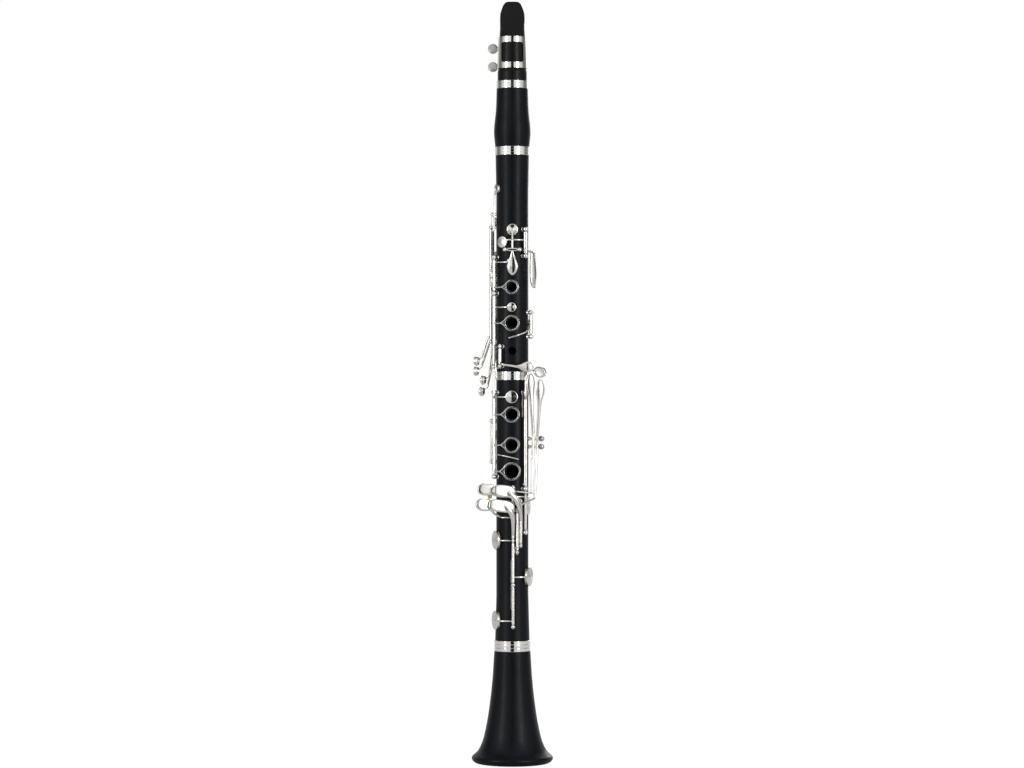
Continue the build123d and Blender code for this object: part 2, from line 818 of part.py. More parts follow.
with BuildPart() as lower_joint:
    joint_wall(bell_top, bell_top + foot_cone_length, lower_top)
    tenon(bell_top, -1)
    for hole_z, hole in zip(right_ring_z, right_ring_holes):
        chimney(0.0, hole_z, hole)
    upright(0, 0, bell_top - tenon_length, lower_top, bore_radius, Mode.SUBTRACT)
    with BuildSketch(front_view):
        Polygon(
            (0, bell_top - tenon_length),
            (foot_bore_radius, bell_top - tenon_length),
            (bore_radius, bell_top + foot_flare_length),
            (0, bell_top + foot_flare_length),
            align=None,
        )
    revolve(axis=Axis.Z, mode=Mode.SUBTRACT)
    socket(lower_top, -1)
    ring_seat(body_radius, lower_top - middle_ring_height, middle_ring_height)
    for hole_z, hole in zip(right_ring_z, right_ring_holes):
        open_hole(0.0, hole_z, hole)
    for pad_angle, pad_z, pad_radius in lower_pads_at:
        tone_hole(pad_angle, pad_z, pad_radius)
    for post_angle, post_z, _, _ in lower_posts_at:
        post_hole(post_angle, post_z, outer_at(post_z))
    for screw_z in rest_screw_z:
        with BuildSketch(
            Plane(origin=(0, body_radius - post_depth, screw_z), x_dir=(-1, 0, 0), z_dir=(0, 1, 0))
        ):
            Circle(rest_screw_radius)
        extrude(amount=post_depth * 2, mode=Mode.SUBTRACT)
    for pivot_z in (e_lever_z, f_sharp_lever_z):
        across(
            sqrt(body_radius**2 - see_saw_y**2) - post_depth,
            body_radius * 2,
            see_saw_y,
            pivot_z,
            post_radius,
            Mode.SUBTRACT,
        )
write(lower_joint, "lower_joint")

with BuildPart() as barrel:
    with BuildSketch(front_view):
        with BuildLine():
            side = Spline(
                (barrel_foot_radius, upper_top),
                (barrel_foot_radius + 0.1, upper_top + 7),
                (barrel_belly_radius, upper_top + 19),
                (barrel_waist_radius + 0.9, upper_top + 38),
                (barrel_waist_radius + 0.35, upper_top + 50),
                (barrel_waist_radius, barrel_top),
            )
            Polyline(side @ 1, (bore_radius, barrel_top), (bore_radius, upper_top), side @ 0)
        make_face()
    revolve(axis=Axis.Z)
    socket(upper_top, 1)
    socket(barrel_top, -1)
    ring_seat(barrel_foot_radius, upper_top, barrel_lower_ring_height)
    ring_seat(
        barrel_waist_radius, barrel_top - barrel_upper_ring_height, barrel_upper_ring_height
    )
write(barrel, "barrel")

with BuildPart() as barrel_rings:
    metal_ring(barrel_foot_radius, upper_top, barrel_lower_ring_height)
    metal_ring(
        barrel_waist_radius, barrel_top - barrel_upper_ring_height, barrel_upper_ring_height
    )
write(barrel_rings, "barrel_rings")

with BuildPart() as middle_ring:
    metal_ring(body_radius, lower_top - middle_ring_height, middle_ring_height)
write(middle_ring, "middle_ring")

with BuildPart() as bell_ring:
    metal_ring(bell_top_radius - 0.6, bell_top - bell_ring_height, bell_ring_height)
write(bell_ring, "bell_ring")

bell_throat_z = bell_top - tenon_length - end_play
rim_widest_z = 4.4
rim_foot_radius = bell_rim_radius - 6.2
lip_flat = 1.4
with BuildPart() as bell:
    with BuildSketch(front_view):
        with BuildLine():
            flare = Spline(
                (bell_rim_radius, rim_widest_z),
                (31.7, 12.0),
                (26.2, 22.3),
                (21.5, 44.2),
                (18.0, 73.4),
                (bell_top_radius - 0.2, bell_top - bell_ring_height - 3),
                (bell_top_radius - 0.6, bell_top),
            )
            Line(flare @ 1, (tenon_radius + tenon_clearance, bell_top))
            Line((tenon_radius + tenon_clearance, bell_top),
                 (tenon_radius + tenon_clearance, bell_throat_z))
            Line((tenon_radius + tenon_clearance, bell_throat_z), (throat_radius, bell_throat_z))
            inside = Spline(
                (throat_radius, bell_throat_z),
                (12.6, 60.0),
                (17.2, 30.0),
                (rim_foot_radius - lip_flat - 1.4, 2.4),
            )
            lip = ThreePointArc(
                inside @ 1,
                (rim_foot_radius - lip_flat - 0.9, 0.7),
                (rim_foot_radius - lip_flat, 0.0),
            )
            foot = Line(lip @ 1, (rim_foot_radius, 0.0))
            RadiusArc(foot @ 1, flare @ 0, -8.0)
        make_face()
    revolve(axis=Axis.Z)
    ring_seat(bell_top_radius - 0.6, bell_top - bell_ring_height, bell_ring_height)
write(bell, "bell")

with BuildPart() as tenon_corks:
    cork_starts = [
        bell_top - tenon_length,
        lower_top - tenon_length,
        upper_top,
        barrel_top - tenon_length,
    ]
    for start in cork_starts:
        with BuildSketch(Plane.XY.offset(start + cork_inset)):
            Circle(tenon_radius + tenon_clearance / 2)
            Circle(tenon_radius - cork_thickness, mode=Mode.SUBTRACT)
        extrude(amount=tenon_length - 2 * cork_inset)
write(tenon_corks, "tenon_corks")

with BuildPart() as bore_inserts:
    with BuildSketch(outward_plane(180.0, thumb_hole_z, bore_radius + 0.1)):
        Circle(hole_radius + chimney_wall)
        Circle(hole_radius, mode=Mode.SUBTRACT)
    extrude(amount=body_radius + chimney_height - bore_radius - 0.1)
    register_seat = seat_radius(vent_pad)
    with BuildSketch(outward_plane(180.0, register_cup_z, bore_radius - register_tube_reach)):
        Circle(register_tube_radius)
        Circle(register_tube_radius - seat_rim, mode=Mode.SUBTRACT)
    extrude(amount=register_seat - bore_radius + register_tube_reach)
write(bore_inserts, "bore_inserts")


# ---- Posts, rods and springs ----
def key_post(angle, z, radius_out, ball_size):
    """A screwed-in post with a collar and a drilled ball."""
    outer_radius = outer_at(z)
    foot = outer_radius - post_depth + post_foot_gap
    with BuildSketch(outward_plane(angle, z, foot)) as profile:
        Circle(post_radius - rod_seat_clearance)
    extrude(profile.sketch, amount=radius_out - foot)
    with BuildSketch(outward_plane(angle, z, outer_radius + 0.05)) as profile:
        Circle(collar_radius)
    extrude(profile.sketch, amount=collar_height, taper=20)
    ball(around(angle, radius_out, z), ball_size)
    centre = around(angle, radius_out)
    reach = ball_size + 1
    upright(
        centre.X, centre.Y, z - reach, z + reach, rod_radius + running_clearance, Mode.SUBTRACT
    )


def facing_post(x, z, y_root, y_ball, ball_size, way):
    """A post that stands along Y for a hinge that lies along X."""
    with BuildSketch(Plane(origin=(x, y_root, z), z_dir=(0, way, 0))) as profile:
        Circle(post_radius - rod_seat_clearance)
    extrude(profile.sketch, amount=abs(y_ball - y_root))
    ball((x, y_ball, z), ball_size)
    across(x - 4, x + 4, y_ball, z, rod_radius + running_clearance, Mode.SUBTRACT)


with BuildPart() as upper_posts:
    for post in upper_posts_at:
        key_post(*post)
    for side in (-1, 1):
        facing_post(
            side * throat_post_x,
            throat_a_pivot_z,
            -body_radius + post_depth - post_foot_gap,
            throat_a_pivot_y,
            small_ball_radius,
            -1,
        )
        facing_post(
            side * register_post_x,
            register_pivot_z,
            body_radius - post_depth + post_foot_gap,
            register_pivot_y,
            small_ball_radius,
            1,
        )
write(upper_posts, "upper_posts")

see_saw_root_x = sqrt(body_radius**2 - see_saw_y**2) - post_depth + post_foot_gap
see_saw_post_length = 6.3
see_saw_head_x = 25.4
see_saw_head_radius = 2.6
with BuildPart() as lower_posts:
    for post in lower_posts_at:
        key_post(*post)
    for pivot_z in (e_lever_z, f_sharp_lever_z):
        across(
            see_saw_root_x,
            see_saw_root_x + see_saw_post_length,
            see_saw_y,
            pivot_z,
            post_radius - rod_seat_clearance,
        )
        ball((see_saw_root_x + see_saw_post_length, see_saw_y, pivot_z), small_ball_radius)
        across(
            see_saw_root_x + see_saw_post_length - 2,
            see_saw_head_x,
            see_saw_y,
            pivot_z,
            rod_radius + running_clearance,
            Mode.SUBTRACT,
        )
write(lower_posts, "lower_posts")


def hinge_rod(point, z_low, z_high):
    """A steel rod between the outer faces of two posts,."""
    upright(point.X, point.Y, z_low, z_high, rod_radius)


rod_overhang = 2.0
rod_runs = [
    (stack, stack_ends[0], stack_ends[-1]),
    (thumb_axis, *thumb_ends),
    (g_sharp_axis, *g_sharp_ends),
    (e_flat_axis, *e_flat_ends),
    (c_sharp_axis, *c_sharp_ends),
    (stack, *right_stack_ends),
    (b_axis, *b_ends),
    (f_lever_axis, f_lever_ends[0], f_lever_ends[-1]),
    (f_touch_axis, *f_touch_ends),
    (f_sharp_axis, *f_sharp_ends),
]
rod_runs += list(zip(side_axes, side_low_ends, side_high_ends))

with BuildPart() as hinge_rods:
    for point, low, high in rod_runs:
        hinge_rod(point, low - rod_overhang, high + rod_overhang)
    across(
        -throat_post_x - rod_overhang,
        throat_post_x + rod_overhang,
        throat_a_pivot_y,
        throat_a_pivot_z,
        rod_radius,
    )
    across(
        -register_post_x - rod_overhang,
        register_post_x + rod_overhang,
        register_pivot_y,
        register_pivot_z,
        rod_radius,
    )
    for pivot_z in (e_lever_z, f_sharp_lever_z):
        across(
            see_saw_root_x + see_saw_post_length - 2,
            see_saw_head_x,
            see_saw_y,
            pivot_z,
            rod_radius,
        )
        ball((see_saw_head_x, see_saw_y, pivot_z), see_saw_head_radius)
write(hinge_rods, "hinge_rods")

spring_length = 20.0
spring_drop = 2.55
spring_lean = 5.5
spring_runs = [
    (stack_angle - spring_lean, stack_ends[2], -1, spring_length),
    (stack_angle - spring_lean, stack_ends[1], -1, spring_length),
    (stack_angle - spring_lean, right_stack_ends[1], -1, spring_length),
    (g_sharp_angle + spring_lean, g_sharp_ends[0], 1, spring_length / 2),
    (f_lever_angle - spring_lean, f_lever_ends[2], -1, spring_length),
    (f_lever_angle - spring_lean, f_lever_ends[0], 1, spring_length),
    (e_angle - spring_lean, e_ends[1], 1, spring_length),
    (e_angle - spring_lean, e_ends[1], -1, spring_length),
]
with BuildPart() as needle_springs:
    for spring_angle, spring_z, way, length in spring_runs:
        lean = around(spring_angle, axis_radius - spring_drop)
        near = spring_z + way * post_radius
        far = near + way * length
        upright(lean.X, lean.Y, min(near, far), max(near, far), spring_radius)
write(needle_springs, "needle_springs")

# ---- Thumb rest with its strap ring ----
rest_plate_width = 11.0
rest_plate_height = 24.0
rest_plate_thickness = 1.6
rest_plate_y = body_radius + 0.4
rest_hook_reach = 17.0
strap_hole_radius = 2.6
strap_ring_width = 2.0
strap_ring_y = body_radius + 9.5
strap_ring_z = thumb_rest_z + 17.5
rest_head_rim = 0.9
rest_head_height = 0.9
rest_head_y = body_radius + 1.2
with BuildPart() as thumb_rest:
    with BuildSketch(
        Plane(origin=(0, body_radius - 1.0, thumb_rest_z), x_dir=(-1, 0, 0), z_dir=(0, 1, 0))
    ):
        RectangleRounded(rest_plate_width, rest_plate_height, 3.0)
    extrude(amount=rest_plate_thickness + 1.4)
    upright(0, 0, thumb_rest_z - 30, thumb_rest_z + 30, rest_plate_y, Mode.SUBTRACT)
    with BuildSketch(side_view) as hook:
        with BuildLine():
            Polyline(
                (rest_plate_y + 1.0, thumb_rest_z - 2.2),
                (rest_plate_y + rest_hook_reach * 0.6, thumb_rest_z - 1.2),
                (rest_plate_y + rest_hook_reach, thumb_rest_z - 5.5),
                (rest_plate_y + rest_hook_reach + 1.2, thumb_rest_z - 4.2),
                (rest_plate_y + rest_hook_reach * 0.6, thumb_rest_z + 1.0),
                (rest_plate_y + 1.0, thumb_rest_z + 0.2),
                close=True,
            )
        make_face()
    extrude(amount=rest_plate_width * 0.55, both=True)
    with BuildSketch(side_view):
        with Locations((strap_ring_y, strap_ring_z)):
            Circle(strap_hole_radius + strap_ring_width)
        with Locations(((rest_plate_y + strap_ring_y) / 2, strap_ring_z - 6.0)):
            Rectangle(strap_ring_y - rest_plate_y - 2.0, 3.0, rotation=38)
    extrude(amount=strap_ring_width / 2, both=True)
    with BuildSketch(side_view):
        with Locations((strap_ring_y, strap_ring_z)):
            Circle(strap_hole_radius)
    extrude(amount=rest_plate_width, both=True, mode=Mode.SUBTRACT)
    for screw_z in rest_screw_z:
        with BuildSketch(Plane(origin=(0, body_radius - 1.0, screw_z), z_dir=(0, 1, 0))):
            Circle(rest_screw_radius + running_clearance)
        extrude(amount=outer_reach, mode=Mode.SUBTRACT)
        with BuildSketch(
            Plane(origin=(0, rest_head_y, screw_z), x_dir=(-1, 0, 0), z_dir=(0, 1, 0))
        ):
            Circle(rest_screw_radius + rest_head_rim + running_clearance)
        extrude(amount=rest_plate_thickness, mode=Mode.SUBTRACT)
write(thumb_rest, "thumb_rest")

with BuildPart() as thumb_rest_screws:
    for screw_z in rest_screw_z:
        foot_y = body_radius - post_depth + post_foot_gap
        with BuildSketch(Plane(origin=(0, foot_y, screw_z), x_dir=(-1, 0, 0), z_dir=(0, 1, 0))):
            Circle(rest_screw_radius - rod_seat_clearance)
        extrude(amount=rest_head_y - foot_y + 0.1)
        with BuildSketch(
            Plane(origin=(0, rest_head_y + 0.02, screw_z), x_dir=(-1, 0, 0), z_dir=(0, 1, 0))
        ):
            Circle(rest_screw_radius + rest_head_rim)
        extrude(amount=rest_head_height)
write(thumb_rest_screws, "thumb_rest_screws")


# ---- Keys of the upper joint ----
def hinge_tube(point, z_low, z_high, radius=tube_radius):
    """The tube that carries a key on its rod."""
    upright(point.X, point.Y, z_low, z_high, radius)


def clear_hinge(point, z_low, z_high, radius=rod_radius):
    """Drills a key's tube for its rod, with running clearance."""
    upright(
        point.X, point.Y, z_low - 1, z_high + 1, radius + running_clearance, Mode.SUBTRACT
    )


def between(low_post_z, high_post_z, ball_size):
    """The tube's ends between two posts."""
    return low_post_z + ball_size + end_play, high_post_z - ball_size - end_play


def write_pad(name, angle, z, pad_radius, hinge=None, open_angle=0.0):
    """Makes the pad of a cup, open with its key at rest."""
    with BuildPart() as pad:
        pad_disc(angle, z, pad_radius)
    if hinge is not None:
        pad.part = swing(pad.part, hinge, open_angle)
    write(pad, name)


# The register key rocks on a rod across the back.
register_touch_y = register_pivot_y + 0.6
with BuildPart() as register_key:
    across(
        -register_post_x + small_ball_radius + end_play,
        register_post_x - small_ball_radius - end_play,
        register_pivot_y,
        register_pivot_z,
        tube_radius,
    )
    cup(180.0, register_cup_z, vent_pad)
    bar(
        [
            (0, register_touch_y - 0.4, thumb_hole_z + 20),
            (0, register_pivot_y, register_pivot_z),
            (0, register_pivot_y + 0.5, register_pivot_z + 9),
            (0, cup_top(vent_pad) - 0.2, register_cup_z),
        ],
        arm_radius,
    )
    touch_rise = Plane(
        origin=(0, register_touch_y - 0.9, thumb_hole_z + 26), x_dir=(-1, 0, 0), z_dir=(0, 1, 0)
    )
    with BuildSketch(touch_rise) as register_touch:
        with BuildLine():
            Spline(
                (0, 0),
                (3.0, -7.0),
                (4.6, -13.0),
                (0, -17.5),
                (-4.6, -13.0),
                (-3.0, -7.0),
                (0, 0),
            )
        make_face()
    extrude(amount=1.8)
    clear_pad(180.0, register_cup_z, vent_pad)
    across(
        -register_post_x,
        register_post_x,
        register_pivot_y,
        register_pivot_z,
        rod_radius + running_clearance,
        Mode.SUBTRACT,
    )
write(register_key, "register_key")
write_pad("register_pad", 180.0, register_cup_z, vent_pad)

# The throat A key rocks on a rod across the front.
with BuildPart() as throat_a_key:
    across(
        -throat_post_x + small_ball_radius + end_play,
        throat_post_x - small_ball_radius - end_play,
        throat_a_pivot_y,
        throat_a_pivot_z,
        tube_radius,
    )
    cup(0.0, throat_a_z, throat_pad)
    bar(
        [
            (0, throat_a_pivot_y - 0.8, throat_a_pivot_z - 4),
            (0, throat_a_pivot_y, throat_a_pivot_z),
            (0, throat_a_pivot_y, throat_a_pivot_z + 8),
            (0, -cup_top(throat_pad) + 0.2, throat_a_z),
        ],
        arm_radius,
    )
    with BuildSketch(
        Plane(
            origin=(0, throat_a_pivot_y - 0.1, throat_a_pivot_z - 2.5),
            x_dir=(-1, 0, 0),
            z_dir=(0, -1, 0),
        )
    ) as a_touch:
        with BuildLine():
            Spline(
                (0, 0),
                (2.6, 5.5),
                (4.9, 12.0),
                (0, 19.8),
                (-4.9, 12.0),
                (-2.6, 5.5),
                (0, 0),
            )
        make_face()
    extrude(amount=2.0)
    clear_pad(0.0, throat_a_z, throat_pad)
    across(
        -throat_post_x,
        throat_post_x,
        throat_a_pivot_y,
        throat_a_pivot_z,
        rod_radius + running_clearance,
        Mode.SUBTRACT,
    )
write(throat_a_key, "throat_a_key")
write_pad("throat_a_pad", 0.0, throat_a_z, throat_pad)

# The throat G sharp key turns on an upright rod at the right.
g_sharp_arm_z = lower_top + 114.8
with BuildPart() as throat_g_sharp_key:
    low, high = between(*g_sharp_ends, ball_radius)
    hinge_tube(g_sharp_axis, low, high, tube_radius + 0.35)
    cup(g_sharp_cup_angle, g_sharp_cup_z, throat_pad)
    cup_arm(
        g_sharp_angle - 3, g_sharp_cup_angle, g_sharp_arm_z, throat_pad, low_arm, slim_arm_radius + 0.1
    )
    bar([around(g_sharp_angle - 3, low_arm, g_sharp_arm_z), around(g_sharp_angle, 17.6, g_sharp_arm_z)],
        slim_arm_radius + 0.1)
    bar(
        [
            around(g_sharp_angle, axis_radius, low + 3.4),
            around(60.0, 19.6, low + 0.5),
            around(72.0, 20.0, low - 6.0),
        ],
        arm_radius,
    )
    with BuildSketch(outward_plane(74.0, lower_top + 88.6, 19.0)):
        Ellipse(3.3, 15.6)
    extrude(amount=2.0)
    clear_pad(g_sharp_cup_angle, g_sharp_cup_z, throat_pad)
    clear_hinge(g_sharp_axis, low, high)
write(throat_g_sharp_key, "throat_g_sharp_key")
write_pad("throat_g_sharp_pad", g_sharp_cup_angle, g_sharp_cup_z, throat_pad)

# The first-finger ring key stands open and carries the vent below the A touch.
stack_hinge = upright_axis(stack)
with BuildPart() as first_finger_ring_key:
    low, high = between(stack_ends[1], stack_ends[2], ball_radius)
    hinge_tube(stack, low, high)
    finger_ring(0.0, first_ring_z, first_hole_radius)
    ring_arm(stack_angle, 0.0, first_ring_z, first_hole_radius)
    cup(0.0, first_vent_z, vent_pad)
    hoop_arm(stack_angle + 5, -3.0, cup_top(vent_pad) - 0.4, first_vent_z, slim_arm_radius)
    bar([around(stack_angle + 5, cup_top(vent_pad) - 0.4, first_vent_z),
         around(stack_angle, axis_radius - 0.6, first_vent_z)], slim_arm_radius)
    bar([around(stack_angle, axis_radius, thumb_hole_z), around(-72.5, 20.2, thumb_hole_z)],
        slim_arm_radius)
    clear_pad(0.0, first_vent_z, vent_pad)
    clear_hinge(stack, low, high)
first_finger_ring_key.part = swing(first_finger_ring_key.part, stack_hinge, -ring_key_open)
write(first_finger_ring_key, "first_finger_ring_key")
write_pad("first_vent_pad", 0.0, first_vent_z, vent_pad, stack_hinge, -ring_key_open)

# The thumb ring key lifts the tail of the first-finger ring key.
thumb_ring_open = 3.5
thumb_hinge = upright_axis(thumb_axis)
thumb_ring_hole = hole_radius + 0.5
with BuildPart() as thumb_ring_key:
    low, high = between(*thumb_ends, small_ball_radius)
    hinge_tube(thumb_axis, low, high, cluster_tube_radius)
    hoop_arm(-152.0, thumb_angle - 2, 16.0, thumb_hole_z, slim_arm_radius + 0.1)
    bar([around(thumb_angle - 2, 16.0, thumb_hole_z), around(thumb_angle, 17.8, thumb_hole_z)],
        slim_arm_radius)
    bar([around(thumb_angle, 18.0, thumb_hole_z), around(-75.5, 18.4, thumb_hole_z)],
        slim_arm_radius)
    finger_ring(180.0, thumb_hole_z, thumb_ring_hole)
    inner = thumb_ring_hole + chimney_wall + chimney_gap
    outer_edge = around(180.0, body_radius + chimney_height - ring_thickness / 2, thumb_hole_z)
    bar(
        [around(-152.0, 16.0, thumb_hole_z), outer_edge + Vector(-inner - 0.6, 0, 0)],
        slim_arm_radius - 0.05,
    )
    clear_hinge(thumb_axis, low, high)
thumb_ring_key.part = swing(thumb_ring_key.part, thumb_hinge, thumb_ring_open)
write(thumb_ring_key, "thumb_ring_key")

# The second-finger ring key carries its vent and the upper half of the bridge.
bridge_angle = -50.0
bridge_inner_radius = axis_radius + 0.3
bridge_step = 2.2
bridge_low_z = lower_top - 6.0
with BuildPart() as second_finger_ring_key:
    low, high = between(stack_ends[0], stack_ends[1], ball_radius)
    hinge_tube(stack, low, high)
    finger_ring(0.0, second_ring_z, second_hole_radius)
    ring_arm(stack_angle, 0.0, second_ring_z, second_hole_radius)
    cup(0.0, second_vent_z, vent_pad)
    hoop_arm(stack_angle + 5, -3.0, cup_top(vent_pad) - 0.4, second_vent_z, slim_arm_radius)
    bar([around(stack_angle + 5, cup_top(vent_pad) - 0.4, second_vent_z),
         around(stack_angle, axis_radius - 0.6, second_vent_z)], slim_arm_radius)
    bar(
        [
            around(stack_angle, axis_radius, low + 2.0),
            around(bridge_angle, bridge_inner_radius, low + 1.0),
            around(bridge_angle, bridge_inner_radius, bridge_low_z),
        ],
        arm_radius - 0.05,
        1.2,
    )
    clear_pad(0.0, second_vent_z, vent_pad)
    clear_hinge(stack, low, high)
second_finger_ring_key.part = swing(second_finger_ring_key.part, stack_hinge, -ring_key_open)
write(second_finger_ring_key, "second_finger_ring_key")
write_pad("second_vent_pad", 0.0, second_vent_z, vent_pad, stack_hinge, -ring_key_open)

# Four side keys: a touch low on the left, a long tube and a small cup above.
side_touch_places = [
    (-26.9, 20.0, lower_top - 17.5),
    (-25.6, 16.0, lower_top - 7.4),
    (-31.7, 16.0, lower_top + 0.5),
    (-31.3, 11.5, lower_top + 9.3),
]
side_touch_radius = 4.2
side_arm_height = 16.0
for number in range(4):
    point = side_axes[number]
    angle = side_angles[number]
    low, high = between(side_low_ends[number], side_high_ends[number], small_ball_radius)
    cup_z = side_cup_z[number]
    cup_angle = side_cup_angles[number]
    touch_at = Vector(*side_touch_places[number])
    outward = Vector(touch_at.X - point.X, touch_at.Y - point.Y, 0).normalized()
    knee = Vector(point.X, point.Y, low + 1.5) + outward * 3.2
    shin = touch_at - outward * 5.2 + Vector(0, 0, 4.0)
    with BuildPart() as side_key:
        hinge_tube(point, low, high, side_tube_radius)
        cup(cup_angle, cup_z, side_pad)
        if cup_z < high:
            cup_arm(angle, cup_angle, cup_z, side_pad, side_arm_height, slim_arm_radius)
            bar([around(angle, side_arm_height, cup_z), around(angle, side_axis_radius, cup_z)],
                slim_arm_radius)
        else:
            hoop_arm(angle, cup_angle - 4, 17.4, high - 1.2, slim_arm_radius + 0.1)
            bar([around(angle, 17.4, high - 1.2), around(angle, side_axis_radius, high - 1.2)],
                slim_arm_radius)
            bar(
                [
                    around(cup_angle - 4, 17.4, high - 1.2),
                    around(cup_angle - 4, 16.9, cup_z - 6),
                    around(cup_angle, cup_top(side_pad) - 0.3, cup_z),
                ],
                slim_arm_radius + 0.1,
            )
        bar([Vector(point.X, point.Y, low + 3.0), knee, shin, touch_at], arm_radius, 2.0)
        with BuildSketch(Plane(origin=touch_at - outward * 0.4, z_dir=outward)) as plate:
            Circle(side_touch_radius)
        extrude(amount=1.7)
        clear_pad(cup_angle, cup_z, side_pad)
        clear_hinge(point, low, high)
    write(side_key, f"side_key_{number + 1}")
    write_pad(f"side_pad_{number + 1}", cup_angle, cup_z, side_pad)

# The left C sharp key: a cup at the side and a long lever to the right little finger side.
with BuildPart() as left_c_sharp_key:
    low, high = between(*c_sharp_ends, small_ball_radius)
    hinge_tube(c_sharp_axis, low, high, tube_radius)
    cup(c_sharp_cup_angle, c_sharp_cup_z, c_sharp_pad)
    cup_arm(
        c_sharp_angle, c_sharp_cup_angle, c_sharp_cup_z, c_sharp_pad, c_sharp_arm, thin_arm_radius
    )
    bar(
        [
            around(c_sharp_angle, c_sharp_arm, c_sharp_cup_z),
            around(c_sharp_angle, 17.6, c_sharp_cup_z),
        ],
        thin_arm_radius,
    )
    bar(
        [
            around(c_sharp_angle, axis_radius, low + 1.6),
            around(-26.0, 20.2, low - 0.6),
            (3.0, -20.4, lower_top + 4.5),
            (10.0, -20.4, lower_top + 4.1),
        ],
        arm_radius,
        4.0,
    )
    with BuildSketch(
        Plane(origin=(2.6, -19.9, lower_top + 3.7), x_dir=(0, 0, -1), z_dir=(0, -1, 0))
    ) as tear:
        with BuildLine():
            Spline(
                (0, 0),
                (2.4, 5.0),
                (4.6, 10.6),
                (0, 15.6),
                (-4.6, 10.6),
                (-2.4, 5.0),
                (0, 0),
            )
        make_face()
    extrude(amount=2.0)
    clear_pad(c_sharp_cup_angle, c_sharp_cup_z, c_sharp_pad)
    clear_hinge(c_sharp_axis, low, high)
write(left_c_sharp_key, "left_c_sharp_key")
write_pad("left_c_sharp_pad", c_sharp_cup_angle, c_sharp_cup_z, c_sharp_pad)

# The left E flat sliver key.
sliver_low_z = lower_top + 29.4
with BuildPart() as left_e_flat_key:
    low, high = between(*e_flat_ends, ball_radius)
    hinge_tube(e_flat_axis, low, high)
    cup(e_flat_cup_angle, e_flat_cup_z, c_sharp_pad)
    cup_arm(
        e_flat_angle, e_flat_cup_angle, e_flat_cup_z, c_sharp_pad, high_arm, slim_arm_radius
    )
    bar([around(e_flat_angle, high_arm, e_flat_cup_z), around(e_flat_angle, 17.4, e_flat_cup_z)],
        slim_arm_radius)
    bar(
        [
            around(-9.0, 17.0, sliver_low_z),
            around(16.0, 17.0, sliver_low_z + 2.2),
            around(40.0, 16.8, sliver_low_z + 4.6),
            around(e_flat_angle, axis_radius - 0.6, low + 4.4),
        ],
        slim_arm_radius,
        6.0,
    )
    clear_pad(e_flat_cup_angle, e_flat_cup_z, c_sharp_pad)
    clear_hinge(e_flat_axis, low, high)
write(left_e_flat_key, "left_e_flat_key")
write_pad("left_e_flat_pad", e_flat_cup_angle, e_flat_cup_z, c_sharp_pad)

# ---- Keys of the lower joint ----
with BuildPart() as right_ring_key:
    low, high = between(*right_stack_ends, ball_radius)
    hinge_tube(stack, low, high)
    for ring_z, hole in zip(right_ring_z, right_ring_holes):
        finger_ring(0.0, ring_z, hole)
        ring_arm(stack_angle, 0.0, ring_z, hole)
    cup(0.0, right_vent_z, right_vent_pad)
    hoop_arm(stack_angle + 5, -3.0, cup_top(right_vent_pad) - 0.3, right_vent_z, slim_arm_radius)
    bar([around(stack_angle + 5, cup_top(right_vent_pad) - 0.3, right_vent_z),
         around(stack_angle, axis_radius - 0.6, right_vent_z)], slim_arm_radius)
    bar(
        [
            around(stack_angle, axis_radius, high - 2.0),
            around(bridge_angle, bridge_inner_radius + bridge_step, high - 1.0),
            around(bridge_angle, bridge_inner_radius + bridge_step, bridge_low_z + 5.5),
        ],
        arm_radius - 0.05,
        1.2,
    )
    clear_pad(0.0, right_vent_z, right_vent_pad)
    clear_hinge(stack, low, high)
right_ring_key.part = swing(right_ring_key.part, stack_hinge, -ring_key_open)
write(right_ring_key, "right_ring_key")
write_pad("right_vent_pad", 0.0, right_vent_z, right_vent_pad, stack_hinge, -ring_key_open)

with BuildPart() as right_b_key:
    low, high = between(*b_ends, small_ball_radius)
    hinge_tube(b_axis, low, high, cluster_tube_radius)
    cup(b_cup_angle, b_cup_z, b_pad)
    hoop_arm(b_cup_angle, b_angle, cup_top(b_pad) - 0.3, b_cup_z, slim_arm_radius)
    bar([around(b_angle, cup_top(b_pad) - 0.3, b_cup_z), around(b_angle, 17.6, b_cup_z)],
        slim_arm_radius)
    bar(
        [
            around(b_angle, axis_radius - 0.5, low + 4.6),
            around(-74.0, 15.6, lower_top - 72.0),
            around(-56.0, 16.0, lower_top - 72.4),
            around(-30.0, 16.7, lower_top - 73.3),
            around(-4.0, 16.9, lower_top - 74.9),
            around(17.0, 16.9, lower_top - 76.4),
        ],
        0.6,
        4.0,
    )
    clear_pad(b_cup_angle, b_cup_z, b_pad)
    clear_hinge(b_axis, low, high)
write(right_b_key, "right_b_key")
write_pad("right_b_pad", b_cup_angle, b_cup_z, b_pad)

plate_back_y = -21.3
plate_thickness = 2.2


def little_touch(x_low, x_high, z_middle, z_height, slope):
    """A rounded oblong touch for the right little finger, its back flat."""
    middle = ((x_low + x_high) / 2, plate_back_y, z_middle)
    with BuildSketch(Plane(origin=middle, x_dir=(1, 0, 0), z_dir=(0, -1, 0))) as profile:
        SlotOverall(x_high - x_low, z_height, rotation=slope)
    extrude(profile.sketch, amount=plate_thickness)


